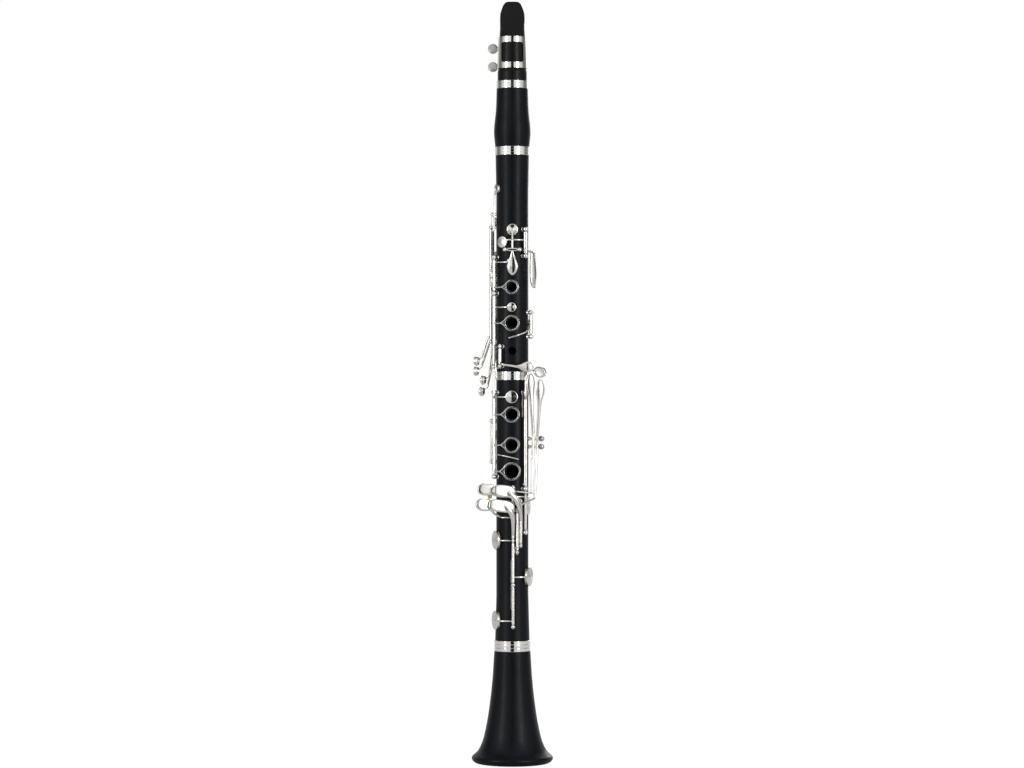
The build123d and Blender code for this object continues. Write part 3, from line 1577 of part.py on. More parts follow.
# The A flat key stands shut; its arm runs low under the upper inner touch.
a_flat_arm_z = bell_top + 126.1
with BuildPart() as a_flat_key:
    low, high = f_lever_ends[0] + ball_radius + end_play, bell_top + 127.4
    hinge_tube(f_lever_axis, low, high, cluster_tube_radius)
    cup(a_flat_cup_angle, a_flat_cup_z, a_flat_pad)
    cup_arm(f_lever_angle, a_flat_cup_angle, a_flat_cup_z, a_flat_pad, high_arm, arm_radius)
    bar([around(f_lever_angle, high_arm, a_flat_cup_z), around(f_lever_angle, 17.8, a_flat_cup_z)],
        slim_arm_radius)
    hoop_arm(-4.0, f_lever_angle - 2, a_flat_arm, a_flat_arm_z, slim_arm_radius)
    bar([around(f_lever_angle - 2, a_flat_arm, a_flat_arm_z), around(f_lever_angle, 17.8, a_flat_arm_z)],
        slim_arm_radius)
    bar(
        [
            around(-4.0, a_flat_arm + 0.3, a_flat_arm_z),
            around(-34.0, a_flat_arm + 2.6, a_flat_arm_z),
            (-16.0, -17.2, a_flat_arm_z + 1.9),
            (-19.0, plate_back_y - 0.7, bell_top + 131.7),
            (-24.0, plate_back_y - 1.1, bell_top + 132.6),
        ],
        arm_radius,
        1.8,
    )
    little_touch(-30.0, -15.8, bell_top + 132.8, 10.4, -3.0)
    clear_pad(a_flat_cup_angle, a_flat_cup_z, a_flat_pad)
    clear_hinge(f_lever_axis, low, high)
write(a_flat_key, "a_flat_key")
write_pad("a_flat_pad", a_flat_cup_angle, a_flat_cup_z, a_flat_pad)

# The F sharp key: inner upper touch, a short tube and the upper left cup.
f_sharp_hinge = upright_axis(f_sharp_axis)
with BuildPart() as f_sharp_key:
    low, high = between(*f_sharp_ends, small_ball_radius - 0.3)
    hinge_tube(f_sharp_axis, low, high, cluster_tube_radius)
    cup(f_sharp_cup_angle, f_sharp_cup_z, big_pad)
    cup_arm(
        f_sharp_angle - 4, f_sharp_cup_angle, f_sharp_cup_z, big_pad, under_arm, slim_arm_radius
    )
    bar(
        [
            around(f_sharp_angle - 4, under_arm, f_sharp_cup_z),
            around(f_sharp_angle, 17.6, f_sharp_cup_z),
        ],
        slim_arm_radius,
    )
    little_touch(-14.9, 1.5, bell_top + 131.3, 10.4, -6.0)
    bar(
        [
            (-1.0, plate_back_y - 1.0, bell_top + 129.2),
            (4.2, plate_back_y - 0.4, bell_top + 125.8),
            (f_sharp_axis.X, f_sharp_axis.Y - 2.2, bell_top + 118.0),
            (f_sharp_axis.X, f_sharp_axis.Y, bell_top + 114.9),
        ],
        arm_radius + 0.2,
        2.2,
    )
    bar(
        [
            (f_sharp_axis.X, f_sharp_axis.Y - 0.3, bell_top + 118.4),
            (f_sharp_axis.X + 2.2, -19.6, bell_top + 120.4),
            (19.5, -19.8, bell_top + 125.0),
        ],
        slim_arm_radius + 0.1,
        1.5,
    )
    clear_pad(f_sharp_cup_angle, f_sharp_cup_z, big_pad)
    clear_hinge(f_sharp_axis, low, high)
f_sharp_key.part = swing(f_sharp_key.part, f_sharp_hinge, little_finger_open)
write(f_sharp_key, "f_sharp_key")
write_pad(
    "f_sharp_pad", f_sharp_cup_angle, f_sharp_cup_z, big_pad, f_sharp_hinge, little_finger_open
)

# The F touch lever rocks the F cup key, whose tube runs on the E key's shaft.
f_touch_hinge = upright_axis(f_touch_axis)
f_link_z = bell_top + 82.0
f_touch_arm_z = bell_top + 108.0
with BuildPart() as f_touch_lever:
    low, high = between(*f_touch_ends, small_ball_radius - 0.3)
    hinge_tube(f_touch_axis, low, high, cluster_tube_radius)
    hoop_arm(-36.0, f_touch_angle - 3, under_arm + 0.1, f_touch_arm_z, slim_arm_radius)
    bar(
        [
            around(f_touch_angle - 3, under_arm + 0.1, f_touch_arm_z),
            around(f_touch_angle, 17.8, f_touch_arm_z),
        ],
        slim_arm_radius,
    )
    bar(
        [
            around(-36.0, under_arm + 0.1, f_touch_arm_z),
            (-15.8, -17.2, f_touch_arm_z + 3.4),
            (-21.0, plate_back_y - 0.7, bell_top + 117.0),
            (-26.0, plate_back_y - 1.1, bell_top + 118.4),
        ],
        arm_radius,
        1.8,
    )
    little_touch(-32.2, -19.9, bell_top + 119.7, 11.0, -6.0)
    bar([(f_touch_axis.X, f_touch_axis.Y - 0.6, f_link_z),
         (f_touch_axis.X - 1.9, f_touch_axis.Y - 2.2, f_link_z)], slim_arm_radius)
    clear_hinge(f_touch_axis, low, high)
f_touch_lever.part = swing(f_touch_lever.part, f_touch_hinge, little_finger_open)
write(f_touch_lever, "f_touch_lever")

e_hinge = upright_axis(e_axis)
f_cup_tube = (e_ends[1] + small_ball_radius + end_play, bell_top + 85.6)
with BuildPart() as f_key:
    hinge_tube(e_axis, *f_cup_tube, cluster_tube_radius)
    cup(f_cup_angle, f_cup_z, big_pad)
    cup_arm(e_angle + 4, f_cup_angle, f_cup_z, big_pad, high_arm, slim_arm_radius + 0.1)
    bar([around(e_angle + 4, high_arm, f_cup_z), around(e_angle, 17.6, f_cup_z)],
        slim_arm_radius)
    bar([(e_axis.X, e_axis.Y, f_link_z - 2.6), (e_axis.X + 1.5, e_axis.Y - 0.4, f_link_z - 2.6)],
        slim_arm_radius)
    clear_pad(f_cup_angle, f_cup_z, big_pad)
    clear_hinge(e_axis, *f_cup_tube)
f_key.part = swing(f_key.part, e_hinge, -little_finger_open)
write(f_key, "f_key")
write_pad("f_pad", f_cup_angle, f_cup_z, big_pad, e_hinge, -little_finger_open)

# The E key: touch tube, inner shaft and cup tube pinned together.
e_touch_tube = (bell_top + 89.8, e_ends[2] - small_ball_radius - end_play)
e_cup_tube = (e_ends[0] + small_ball_radius + end_play, e_ends[1] - small_ball_radius - end_play)
with BuildPart() as e_key:
    hinge_tube(e_axis, *e_touch_tube, cluster_tube_radius)
    hinge_tube(e_axis, *e_cup_tube, cluster_tube_radius)
    hinge_tube(e_axis, e_ends[0] - rod_overhang, e_ends[2] + rod_overhang, rod_radius)
    cup(e_cup_angle, e_cup_z, big_pad)
    cup_arm(e_angle - 4, e_cup_angle, e_cup_z, big_pad, high_arm, slim_arm_radius + 0.1)
    bar([around(e_angle - 4, high_arm, e_cup_z), around(e_angle, 17.6, e_cup_z)],
        slim_arm_radius)
    clear_pad(e_cup_angle, e_cup_z, big_pad)
    little_touch(-18.6, 1.0, bell_top + 118.4, 10.8, -8.0)
    bar(
        [
            (-4.0, plate_back_y - 0.9, bell_top + 115.9),
            (0.4, plate_back_y - 0.4, bell_top + 112.8),
            (e_axis.X, e_axis.Y - 0.6, bell_top + 107.4),
        ],
        arm_radius + 0.2,
        2.0,
    )
    bar(
        [
            (e_axis.X, e_axis.Y, bell_top + 131.0),
            (e_axis.X + 3.0, -20.2, bell_top + 130.8),
            (17.0, -19.2, bell_top + 129.4),
        ],
        slim_arm_radius + 0.1,
        1.5,
    )
e_key.part = swing(e_key.part, e_hinge, little_finger_open)
write(e_key, "e_key")
write_pad("e_pad", e_cup_angle, e_cup_z, big_pad, e_hinge, little_finger_open)

# ---- The three levers of the left little finger ----
with BuildPart() as left_f_lever:
    low, high = between(f_lever_ends[1], f_lever_ends[2], ball_radius)
    hinge_tube(f_lever_axis, low, high, tube_radius)
    bar(
        [
            (f_lever_axis.X, f_lever_axis.Y, high - 3.0),
            (f_lever_axis.X, f_lever_axis.Y - 4.0, high - 1.5),
            (f_lever_axis.X + 0.2, -17.2, lower_top - 4.9),
            (14.6, -15.4, lower_top + 1.7),
            (23.0, -17.0, lower_top + 0.5),
        ],
        arm_radius,
        2.0,
    )
    with BuildSketch(Plane(origin=(24.4, -16.2, lower_top - 0.5), x_dir=(1, 0, 0), z_dir=(0, -1, 0))):
        Ellipse(5.5, 4.7)
    extrude(amount=2.2)
    bar([(f_lever_axis.X, f_lever_axis.Y, low + 1.5),
         around(f_touch_angle + 17, axis_radius + 0.6, low + 1.5)], slim_arm_radius)
    clear_hinge(f_lever_axis, low, high)
write(left_f_lever, "left_f_lever")


def see_saw_lever(pivot_z, hub_x, route, leaf_at, leaf_size):
    """A lever that rocks on a sideways pivot: leaf touch, long arm and hub."""
    across(hub_x[0], hub_x[1], see_saw_y, pivot_z, tube_radius)
    middle_x = route[1][0]
    bar([(middle_x, see_saw_y, pivot_z), (middle_x, route[1][1], pivot_z)], arm_radius)
    bar(route, arm_radius, 8.0)
    leaf_plate(
        Plane(origin=leaf_at, x_dir=(1, 0, 0), z_dir=(0, -1, 0)), *leaf_size, 2.0
    )
    across(
        hub_x[0] - 1, hub_x[1] + 1, see_saw_y, pivot_z, rod_radius + running_clearance,
        Mode.SUBTRACT,
    )


see_saw_hub_x = (
    see_saw_root_x + see_saw_post_length + small_ball_radius + end_play,
    see_saw_head_x - see_saw_head_radius - end_play,
)
with BuildPart() as left_e_lever:
    see_saw_lever(
        e_lever_z,
        see_saw_hub_x,
        [
            (16.4, -16.4, lower_top - 22.9),
            (18.4, -12.8, e_lever_z),
            (17.6, -13.4, bell_top + 154.4),
            (17.0, -15.5, bell_top + 129.4),
        ],
        (16.4, -15.6, lower_top - 25.4),
        (23.6, 6.4),
    )
write(left_e_lever, "left_e_lever")

with BuildPart() as left_f_sharp_lever:
    see_saw_lever(
        f_sharp_lever_z,
        see_saw_hub_x,
        [
            (23.4, -16.6, lower_top - 26.9),
            (21.2, -12.9, f_sharp_lever_z),
            (20.6, -13.6, bell_top + 148.4),
            (19.5, -16.5, bell_top + 125.0),
        ],
        (24.2, -15.8, lower_top - 30.4),
        (23.4, 7.6),
    )
write(left_f_sharp_lever, "left_f_sharp_lever")
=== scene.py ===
import json
import math

import bmesh
import bpy
from mathutils import Matrix, Vector


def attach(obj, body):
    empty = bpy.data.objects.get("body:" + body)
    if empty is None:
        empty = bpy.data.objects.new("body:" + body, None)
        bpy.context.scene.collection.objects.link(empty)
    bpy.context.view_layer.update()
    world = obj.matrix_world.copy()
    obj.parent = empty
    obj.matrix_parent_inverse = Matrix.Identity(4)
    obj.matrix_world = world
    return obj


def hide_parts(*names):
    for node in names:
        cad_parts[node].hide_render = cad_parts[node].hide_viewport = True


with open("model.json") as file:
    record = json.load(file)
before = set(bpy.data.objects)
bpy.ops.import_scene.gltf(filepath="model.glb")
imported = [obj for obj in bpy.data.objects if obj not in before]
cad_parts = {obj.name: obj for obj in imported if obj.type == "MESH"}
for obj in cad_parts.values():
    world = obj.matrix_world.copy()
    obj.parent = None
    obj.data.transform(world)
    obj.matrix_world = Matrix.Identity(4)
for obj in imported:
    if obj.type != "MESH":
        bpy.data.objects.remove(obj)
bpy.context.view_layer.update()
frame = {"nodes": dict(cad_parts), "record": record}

# Lengths below are in millimetres, and MM turns them into the metres of the frame. The bore axis is Z
# with the bell's lip at 0, and the front of the clarinet faces -Y.
MM = 0.001
nodes = frame["nodes"]
root_body = "clarinet_body"

# The top ends of four of the joints.
bell_top = 107.6
lower_top = 342.9
upper_top = 532.2
barrel_top = 597.3


# ---- Materials ----
def new_material(name):
    """A material with its node tree and its Principled shader."""
    material = bpy.data.materials.new(name)
    material.use_nodes = True
    tree = material.node_tree
    return material, tree, tree.nodes["Principled BSDF"]


def noise(tree, scale, detail=3.0, stretch=(1.0, 1.0, 1.0)):
    """A noise factor in object coordinates; scale is in cycles per metre."""
    place = tree.nodes.new("ShaderNodeTexCoord")
    mapping = tree.nodes.new("ShaderNodeMapping")
    mapping.inputs["Scale"].default_value = stretch
    field = tree.nodes.new("ShaderNodeTexNoise")
    field.inputs["Scale"].default_value = scale
    field.inputs["Detail"].default_value = detail
    tree.links.new(place.outputs["Object"], mapping.inputs["Vector"])
    tree.links.new(mapping.outputs["Vector"], field.inputs["Vector"])
    return field.outputs["Fac"]


def ramp(tree, factor, stops):
    """A colour ramp; stops are (position, colour)."""
    node = tree.nodes.new("ShaderNodeValToRGB")
    elements = node.color_ramp.elements
    while len(elements) < len(stops):
        elements.new(0.5)
    for element, (position, colour) in zip(elements, stops):
        element.position = position
        element.color = (*colour, 1.0)
    tree.links.new(factor, node.inputs["Fac"])
    return node.outputs["Color"]


def spread(tree, factor, low, high):
    """Maps a noise factor to a range of values."""
    node = tree.nodes.new("ShaderNodeMapRange")
    node.inputs["From Min"].default_value = 0.3
    node.inputs["From Max"].default_value = 0.7
    node.inputs["To Min"].default_value = low
    node.inputs["To Max"].default_value = high
    tree.links.new(factor, node.inputs["Value"])
    return node.outputs["Result"]


def bump(tree, shader, factor, strength, depth):
    """Raises the surface by a factor; depth is in metres."""
    node = tree.nodes.new("ShaderNodeBump")
    node.inputs["Strength"].default_value = strength
    node.inputs["Distance"].default_value = depth
    tree.links.new(factor, node.inputs["Height"])
    tree.links.new(node.outputs["Normal"], shader.inputs["Normal"])


def surface(
    name,
    colours,
    roughness,
    colour_scale,
    rough_scale,
    grain,
    metallic=0.0,
    specular=0.5,
    stretch=(1.0, 1.0, 1.0),
):
    """A material whose colour, gloss and fine relief all vary; grain is (scale, strength, depth)."""
    material, tree, shader = new_material(name)
    shader.inputs["Metallic"].default_value = metallic
    shader.inputs["Specular IOR Level"].default_value = specular
    tint = ramp(
        tree,
        noise(tree, colour_scale, 4.0, stretch),
        [(0.32, colours[0]), (0.68, colours[1])],
    )
    tree.links.new(tint, shader.inputs["Base Color"])
    gloss = spread(tree, noise(tree, rough_scale, 3.0, stretch), *roughness)
    tree.links.new(gloss, shader.inputs["Roughness"])
    scale, strength, depth = grain
    bump(tree, shader, noise(tree, scale, 5.0, stretch), strength, depth)
    return material


plate = surface(
    "nickel_silver_plate",
    [(0.73, 0.715, 0.68), (0.85, 0.84, 0.81)],
    (0.10, 0.17),
    60.0,
    240.0,
    metallic=1.0,
    grain=(900.0, 0.05, 0.00003),
)
ring_plate = surface(
    "ring_plate",
    [(0.80, 0.79, 0.77), (0.90, 0.895, 0.885)],
    (0.07, 0.12),
    50.0,
    300.0,
    metallic=1.0,
    grain=(700.0, 0.03, 0.00002),
    stretch=(1.0, 1.0, 6.0),
)
touch_plate = surface(
    "touch_plate",
    [(0.72, 0.70, 0.665), (0.83, 0.815, 0.79)],
    (0.18, 0.25),
    70.0,
    260.0,
    metallic=1.0,
    grain=(900.0, 0.05, 0.00003),
)
steel = surface(
    "blued_steel",
    [(0.42, 0.42, 0.43), (0.60, 0.60, 0.61)],
    (0.18, 0.30),
    300.0,
    700.0,
    metallic=1.0,
    grain=(1500.0, 0.10, 0.00002),
)
body_black = surface(
    "satin_black_body",
    [(0.0030, 0.0036, 0.0050), (0.0058, 0.0070, 0.0100)],
    (0.30, 0.40),
    45.0,
    350.0,
    specular=0.13,
    grain=(2600.0, 0.16, 0.00004),
    stretch=(1.0, 1.0, 0.35),
)
mouthpiece_black = surface(
    "ebonite",
    [(0.0038, 0.0038, 0.0040), (0.0070, 0.0070, 0.0072)],
    (0.26, 0.36),
    60.0,
    400.0,
    specular=0.15,
    grain=(2200.0, 0.12, 0.00003),
)
pad_skin = surface(
    "pad_skin",
    [(0.66, 0.56, 0.42), (0.86, 0.79, 0.66)],
    (0.42, 0.58),
    500.0,
    900.0,
    grain=(1400.0, 0.30, 0.00006),
)
cork = surface(
    "cork",
    [(0.30, 0.16, 0.075), (0.66, 0.43, 0.24)],
    (0.72, 0.90),
    900.0,
    1200.0,
    grain=(1100.0, 0.55, 0.00015),
)
cane = surface(
    "cane",
    [(0.62, 0.45, 0.20), (0.80, 0.66, 0.38)],
    (0.38, 0.52),
    1400.0,
    1600.0,
    grain=(1800.0, 0.25, 0.00004),
    stretch=(1.0, 1.0, 0.04),
)
knob_plate = surface(
    "knob_plate",
    [(0.44, 0.44, 0.43), (0.56, 0.56, 0.55)],
    (0.36, 0.46),
    150.0,
    400.0,
    metallic=1.0,
    grain=(1200.0, 0.08, 0.00003),
)
felt = surface(
    "felt",
    [(0.50, 0.34, 0.20), (0.70, 0.52, 0.34)],
    (0.80, 0.95),
    1500.0,
    1700.0,
    grain=(2600.0, 0.6, 0.0001),
)


def paint(obj, material):
    """Puts one material on every slot of an object."""
    obj.data.materials.clear()
    obj.data.materials.append(material)


# ---- Mesh helpers ----
def link(name, mesh):
    """A linked object for a mesh."""
    obj = bpy.data.objects.new(name, mesh)
    bpy.context.scene.collection.objects.link(obj)
    return obj


def smooth(mesh):
    """Smooth shading over a whole mesh."""
    mesh.polygons.foreach_set("use_smooth", [True] * len(mesh.polygons))
    mesh.update()


def around(angle, radius, z):
    """The point at an angle from the front and a radius, in millimetres."""
    turn = math.radians(angle)
    return Vector((radius * math.sin(turn), -radius * math.cos(turn), z))


def closed_tube(bm, rings):
    """Faces between rings of points in turn, with both ends capped."""
    loops = [[bm.verts.new(Vector(p) * MM) for p in ring] for ring in rings]
    count = len(loops[0])
    for low, high in zip(loops, loops[1:]):
        for i in range(count):
            j = (i + 1) % count
            bm.faces.new((low[i], low[j], high[j], high[i]))
    bm.faces.new(list(reversed(loops[0])))
    bm.faces.new(loops[-1])


pillow_rings = 9
pillow_sides = 40


def pillow(
    centre, normal, up, half_width, half_height, rise, depth=0.8, powers=(2.4, 2.4), fullness=2.0
):
    """A domed touch: an oval outline, left and right to their own powers, that rises to its middle."""
    normal = Vector(normal).normalized()
    up = Vector(up)
    up = (up - normal * up.dot(normal)).normalized()
    across = up.cross(normal)
    rings = []
    levels = [(1.0, -depth)]
    for k in range(pillow_rings):
        rising = k * math.pi / 2 / pillow_rings
        levels.append(
            (math.cos(rising) ** (2 / fullness), rise * math.sin(rising) ** (2 / fullness))
        )
    levels.append((0.06, rise))
    for share, height in levels:
        ring = []
        for i in range(pillow_sides):
            turn = 2 * math.pi * i / pillow_sides
            c = math.cos(turn)
            s = math.sin(turn)
            power = powers[0] if c < 0 else powers[1]
            x = math.copysign(abs(c) ** (2 / power), c) * half_width * share
            y = math.copysign(abs(s) ** (2 / power), s) * half_height * share
            ring.append(Vector(centre) + across * x + up * y + normal * height)
        rings.append(ring)
    bm = bmesh.new()
    closed_tube(bm, rings)
    return bm


def catmull(a, b, c, d, t):
    """A point on the smooth curve between b and c."""
    return 0.5 * (
        2 * b + (c - a) * t + (2 * a - 5 * b + 4 * c - d) * t * t
        + (3 * b - a - 3 * c + d) * t * t * t
    )


horn_steps = 10
horn_sides = 24
horn_power = 2.2


def horn(stations):
    """A swelling arm: stations are (centre, half width vector, half thickness vector)."""
    rows = [[Vector(part) for part in station] for station in stations]
    rows = [rows[0]] + rows + [rows[-1]]
    rings = []
    for k in range(1, len(rows) - 2):
        last = k == len(rows) - 3
        for step in range(horn_steps + last):
            t = step / horn_steps
            centre, wide, thick = (
                catmull(rows[k - 1][n], rows[k][n], rows[k + 1][n], rows[k + 2][n], t)
                for n in range(3)
            )
            ring = []
            for i in range(horn_sides):
                turn = 2 * math.pi * i / horn_sides
                c = math.cos(turn)
                s = math.sin(turn)
                ring.append(
                    centre
                    + wide * math.copysign(abs(c) ** (2 / horn_power), c)
                    + thick * math.copysign(abs(s) ** (2 / horn_power), s)
                )
            rings.append(ring)
    bm = bmesh.new()
    closed_tube(bm, rings)
    return bm


def swung(bm, point, angle):
    """Turns a mesh about an upright hinge, in degrees."""
    centre = Vector((point[0] * MM, point[1] * MM, 0))
    turn = Matrix.Rotation(math.radians(angle), 4, "Z")
    bm.transform(Matrix.Translation(centre) @ turn @ Matrix.Translation(-centre))
    return bm


def settled(obj):
    """Applies an object's modifiers to its mesh."""
    graph = bpy.context.evaluated_depsgraph_get()
    mesh = bpy.data.meshes.new_from_object(obj.evaluated_get(graph))
    old = obj.data
    obj.modifiers.clear()
    obj.data = mesh
    mesh.name = obj.name
    bpy.data.meshes.remove(old)
    smooth(mesh)


voxel = 0.18
weld_distance = 0.001


def softened(name, source, body, material, extras=(), easing=9, reshape=None):
    """A piece that follows a CAD node and extra forms as one casting with eased edges."""
    bm = bmesh.new()
    bm.from_mesh(nodes[source].data)
    if reshape:
        reshape(bm)
    mesh = bpy.data.meshes.new(name)
    for extra in extras:
        extra.to_mesh(mesh)
        extra.free()
        bm.from_mesh(mesh)
    bmesh.ops.remove_doubles(bm, verts=bm.verts, dist=weld_distance * MM)
    bm.to_mesh(mesh)
    bm.free()
    obj = link(name, mesh)
    remesh = obj.modifiers.new("remesh", "REMESH")
    remesh.mode = "VOXEL"
    remesh.voxel_size = voxel * MM
    ease = obj.modifiers.new("ease", "SMOOTH")
    ease.factor = 0.5
    ease.iterations = easing
    settled(obj)
    paint(obj, material)
    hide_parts(source)
    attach(obj, body)


lathe_segments = 160


def lathe(name, profile, material, replaced=()):
    """A turned piece of the body: profile is a closed line of (radius, z)."""
    bm = bmesh.new()
    loops = []
    for i in range(lathe_segments):
        turn = 2 * math.pi * i / lathe_segments
        loops.append(
            [
                bm.verts.new(
                    Vector((r * math.sin(turn), -r * math.cos(turn), z)) * MM
                )
                for r, z in profile
            ]
        )
    count = len(profile)
    for i in range(lathe_segments):
        a = loops[i]
        b = loops[(i + 1) % lathe_segments]
        for k in range(count):
            m = (k + 1) % count
            bm.faces.new((a[k], b[k], b[m], a[m]))
    bmesh.ops.recalc_face_normals(bm, faces=bm.faces)
    mesh = bpy.data.meshes.new(name)
    bm.to_mesh(mesh)
    bm.free()
    obj = link(name, mesh)
    smooth(mesh)
    paint(obj, material)
    if replaced:
        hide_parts(*replaced)
    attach(obj, root_body)


# ---- CAD parts that keep their own shape ----
slot_material = {
    "body": body_black,
    "mouthpiece": mouthpiece_black,
    "keys": plate,
    "rings": ring_plate,
    "posts": plate,
    "ligature": plate,
    "steel": steel,
    "inserts": ring_plate,
    "cork": cork,
    "pads": pad_skin,
    "reed": cane,
}
slots = {row["node"]: row["material_slot"] for row in frame["record"]["subparts"]}
for node_name, node in nodes.items():
    paint(node, slot_material[slots[node_name]])

# ---- Keys, eased like castings ----
body_of_node = {}
for body_name, members in frame["record"]["behaviour"]["bodies"].items():
    for member in members:
        body_of_node[member] = body_name

front = (0, -1, 0)
up = (0, 0, 1)
# The F sharp, F and E keys rest this many degrees open about their upright hinges.
open_turn = 5.5
hinge_radius = 18.3
f_sharp_hinge = around(23.6, hinge_radius, 0)
f_touch_hinge = around(13.6, hinge_radius, 0)
e_hinge = around(1.9, hinge_radius, 0)

# The little-finger touches lean to the right, and the two nearer the axis stand further forward.
touch_lean = math.tan(math.radians(12))
plate_front_y = -22.3
inner_forward = 1.5


def little_pillow(x_low, x_high, z_middle, height, slope, powers, hinge=None):
    """The pillowed front of a right little-finger touch, which leans a little to the right."""
    tilt = math.radians(slope)
    forward = inner_forward if x_high > 0 else 0.0
    form = pillow(
        ((x_low + x_high) / 2, plate_front_y - 0.1 - forward, z_middle),
        (touch_lean, -1, 0.10),
        (-math.sin(tilt), 0, math.cos(tilt)),
        (x_high - x_low) / 2,
        height / 2,
        1.6,
        depth=0.7 if forward else 1.3,
        powers=powers,
        fullness=3.6,
    )
    return swung(form, hinge, open_turn) if hinge else form


def leaned_plate(x_low, x_high, hinge=None):
    """A reshaping that lets a flat touch of the CAD follow its leaning pillow."""
    middle = (x_low + x_high) / 2
    front_y = plate_front_y + 0.3 - (inner_forward if x_high > 0 else 0.0)

    def reshape(bm):
        if hinge:
            swung(bm, hinge, -open_turn)
        for vert in bm.verts:
            x, y, z = vert.co / MM
            if y < plate_front_y - 1.0 and x_low - 1 < x < x_high + 1:
                vert.co.y = (front_y + touch_lean * (x - middle)) * MM
        if hinge:
            swung(bm, hinge, open_turn)

    return reshape


def pushed_back(low, high, limit_y):
    """A reshaping that keeps the front of a flat touch behind its domed form."""

    def reshape(bm):
        for vert in bm.verts:
            x, y, z = vert.co / MM
            if low[0] < x < high[0] and low[1] < z < high[1] and y < limit_y:
                vert.co.y = limit_y * MM

    return reshape


def spoon(stations, turn=0.0):
    """A domed leaf: stations are (x, y, z, half width, half thickness), turned about Z."""
    angle = math.radians(turn)
    wide = Vector((math.cos(angle), math.sin(angle), 0))
    thick = Vector((math.sin(angle), -math.cos(angle), 0))
    return horn([((x, y, z), wide * w, thick * t) for x, y, z, w, t in stations])


a_leaf = spoon(
    [
        (0, -20.8, 448.0, 0.9, 0.9),
        (0, -21.0, 443.5, 2.2, 1.1),
        (0, -21.2, 438.8, 3.9, 1.5),
        (0, -21.3, 434.6, 4.9, 1.8),
        (0, -21.2, 430.4, 3.9, 1.5),
        (0, -21.0, 427.7, 1.9, 0.9),
        (0, -20.9, 426.7, 0.5, 0.4),
    ],
    -6.0,
)
c_sharp_tear = horn(
    [
        ((1.6, -20.5, 347.3), (0, 0, 0.9), (0, -0.9, 0)),
        ((6.5, -20.8, 347.2), (0, 0.2, 1.9), (0, -1.2, 0.2)),
        ((10.5, -21.0, 347.1), (0, 0.5, 3.9), (0, -1.6, 0.4)),
        ((13.2, -21.1, 347.0), (0, 0.6, 4.8), (0, -1.9, 0.5)),
        ((16.2, -21.0, 346.9), (0, 0.5, 3.9), (0, -1.5, 0.4)),
        ((17.9, -20.8, 346.8), (0, 0.2, 1.7), (0, -0.8, 0.2)),
        ((18.4, -20.7, 346.8), (0, 0, 0.4), (0, -0.4, 0)),
    ]
)
f_lever_oval = pillow(
    (24.4, -17.2, 342.6), (0.60, -1, 0.40), up, 6.2, 5.1, 1.8, depth=1.4, powers=(2.1, 2.1)
)
e_leaf = spoon(
    [
        (16.1, -16.6, 341.4, 0.5, 0.4),
        (16.0, -16.9, 339.0, 2.4, 1.1),
        (15.9, -17.0, 333.8, 3.8, 1.6),
        (16.1, -16.9, 327.0, 3.2, 1.4),
        (16.5, -16.5, 320.0, 2.0, 1.2),
        (17.3, -15.2, 305.0, 1.5, 1.1),
        (18.3, -13.2, 288.0, 1.4, 1.1),
        (18.0, -13.2, 272.0, 1.4, 1.1),
        (17.5, -13.9, 256.0, 1.3, 1.1),
        (17.0, -15.4, 238.0, 1.1, 1.0),
    ],
    16.0,
)
f_sharp_leaf = spoon(
    [
        (24.2, -16.8, 336.4, 0.5, 0.4),
        (24.2, -17.1, 334.0, 2.4, 1.1),
        (24.2, -17.3, 328.8, 3.8, 1.6),
        (24.1, -17.2, 322.0, 3.1, 1.4),
        (23.7, -16.8, 315.5, 1.9, 1.2),
        (22.8, -15.4, 302.0, 1.5, 1.1),
        (21.4, -13.2, 281.0, 1.4, 1.1),
        (20.9, -13.3, 264.0, 1.4, 1.1),
        (20.4, -14.3, 250.0, 1.3, 1.1),
        (19.5, -16.3, 234.0, 1.1, 1.0),
    ],
    16.0,
)
g_sharp_spoon = spoon(
    [
        (16.6, -9.9, 449.0, 0.9, 0.9),
        (17.4, -9.2, 445.0, 2.0, 1.0),
        (17.9, -8.8, 438.5, 3.3, 1.3),
        (18.1, -8.6, 431.0, 3.9, 1.5),
        (18.1, -8.6, 424.0, 3.6, 1.4),
        (18.0, -8.7, 418.8, 2.2, 1.0),
        (18.0, -8.7, 416.4, 0.6, 0.4),
    ],
    42.0,
)
register_spoon = spoon(
    [
        (0, 21.2, 450.5, 0.9, 0.9),
        (0, 21.4, 445.0, 2.6, 1.2),
        (0, 21.6, 438.6, 4.5, 1.6),
        (0, 21.5, 435.0, 3.4, 1.3),
        (0, 21.3, 433.4, 0.8, 0.5),
    ],
)

side_places = [(-26.9, 20.0, 325.4), (-25.6, 16.0, 335.5), (-31.7, 16.0, 343.4), (-31.3, 11.5, 352.2)]
side_hinges = [around(angle, 19.4, 0) for angle in (-142.0, -130.0, -118.0, -106.0)]


def side_dome(number):
    """The pearl-like dome of a side key's touch."""
    place = Vector(side_places[number])
    hinge = side_hinges[number]
    away = Vector((place.x - hinge.x, place.y - hinge.y, 0)).normalized()
    return pillow(
        place + away * 0.3,
        away * 0.8 + Vector(front) * 0.6,
        up,
        4.0,
        4.0,
        2.5,
        depth=1.6,
        powers=(2.0, 2.0),
    )


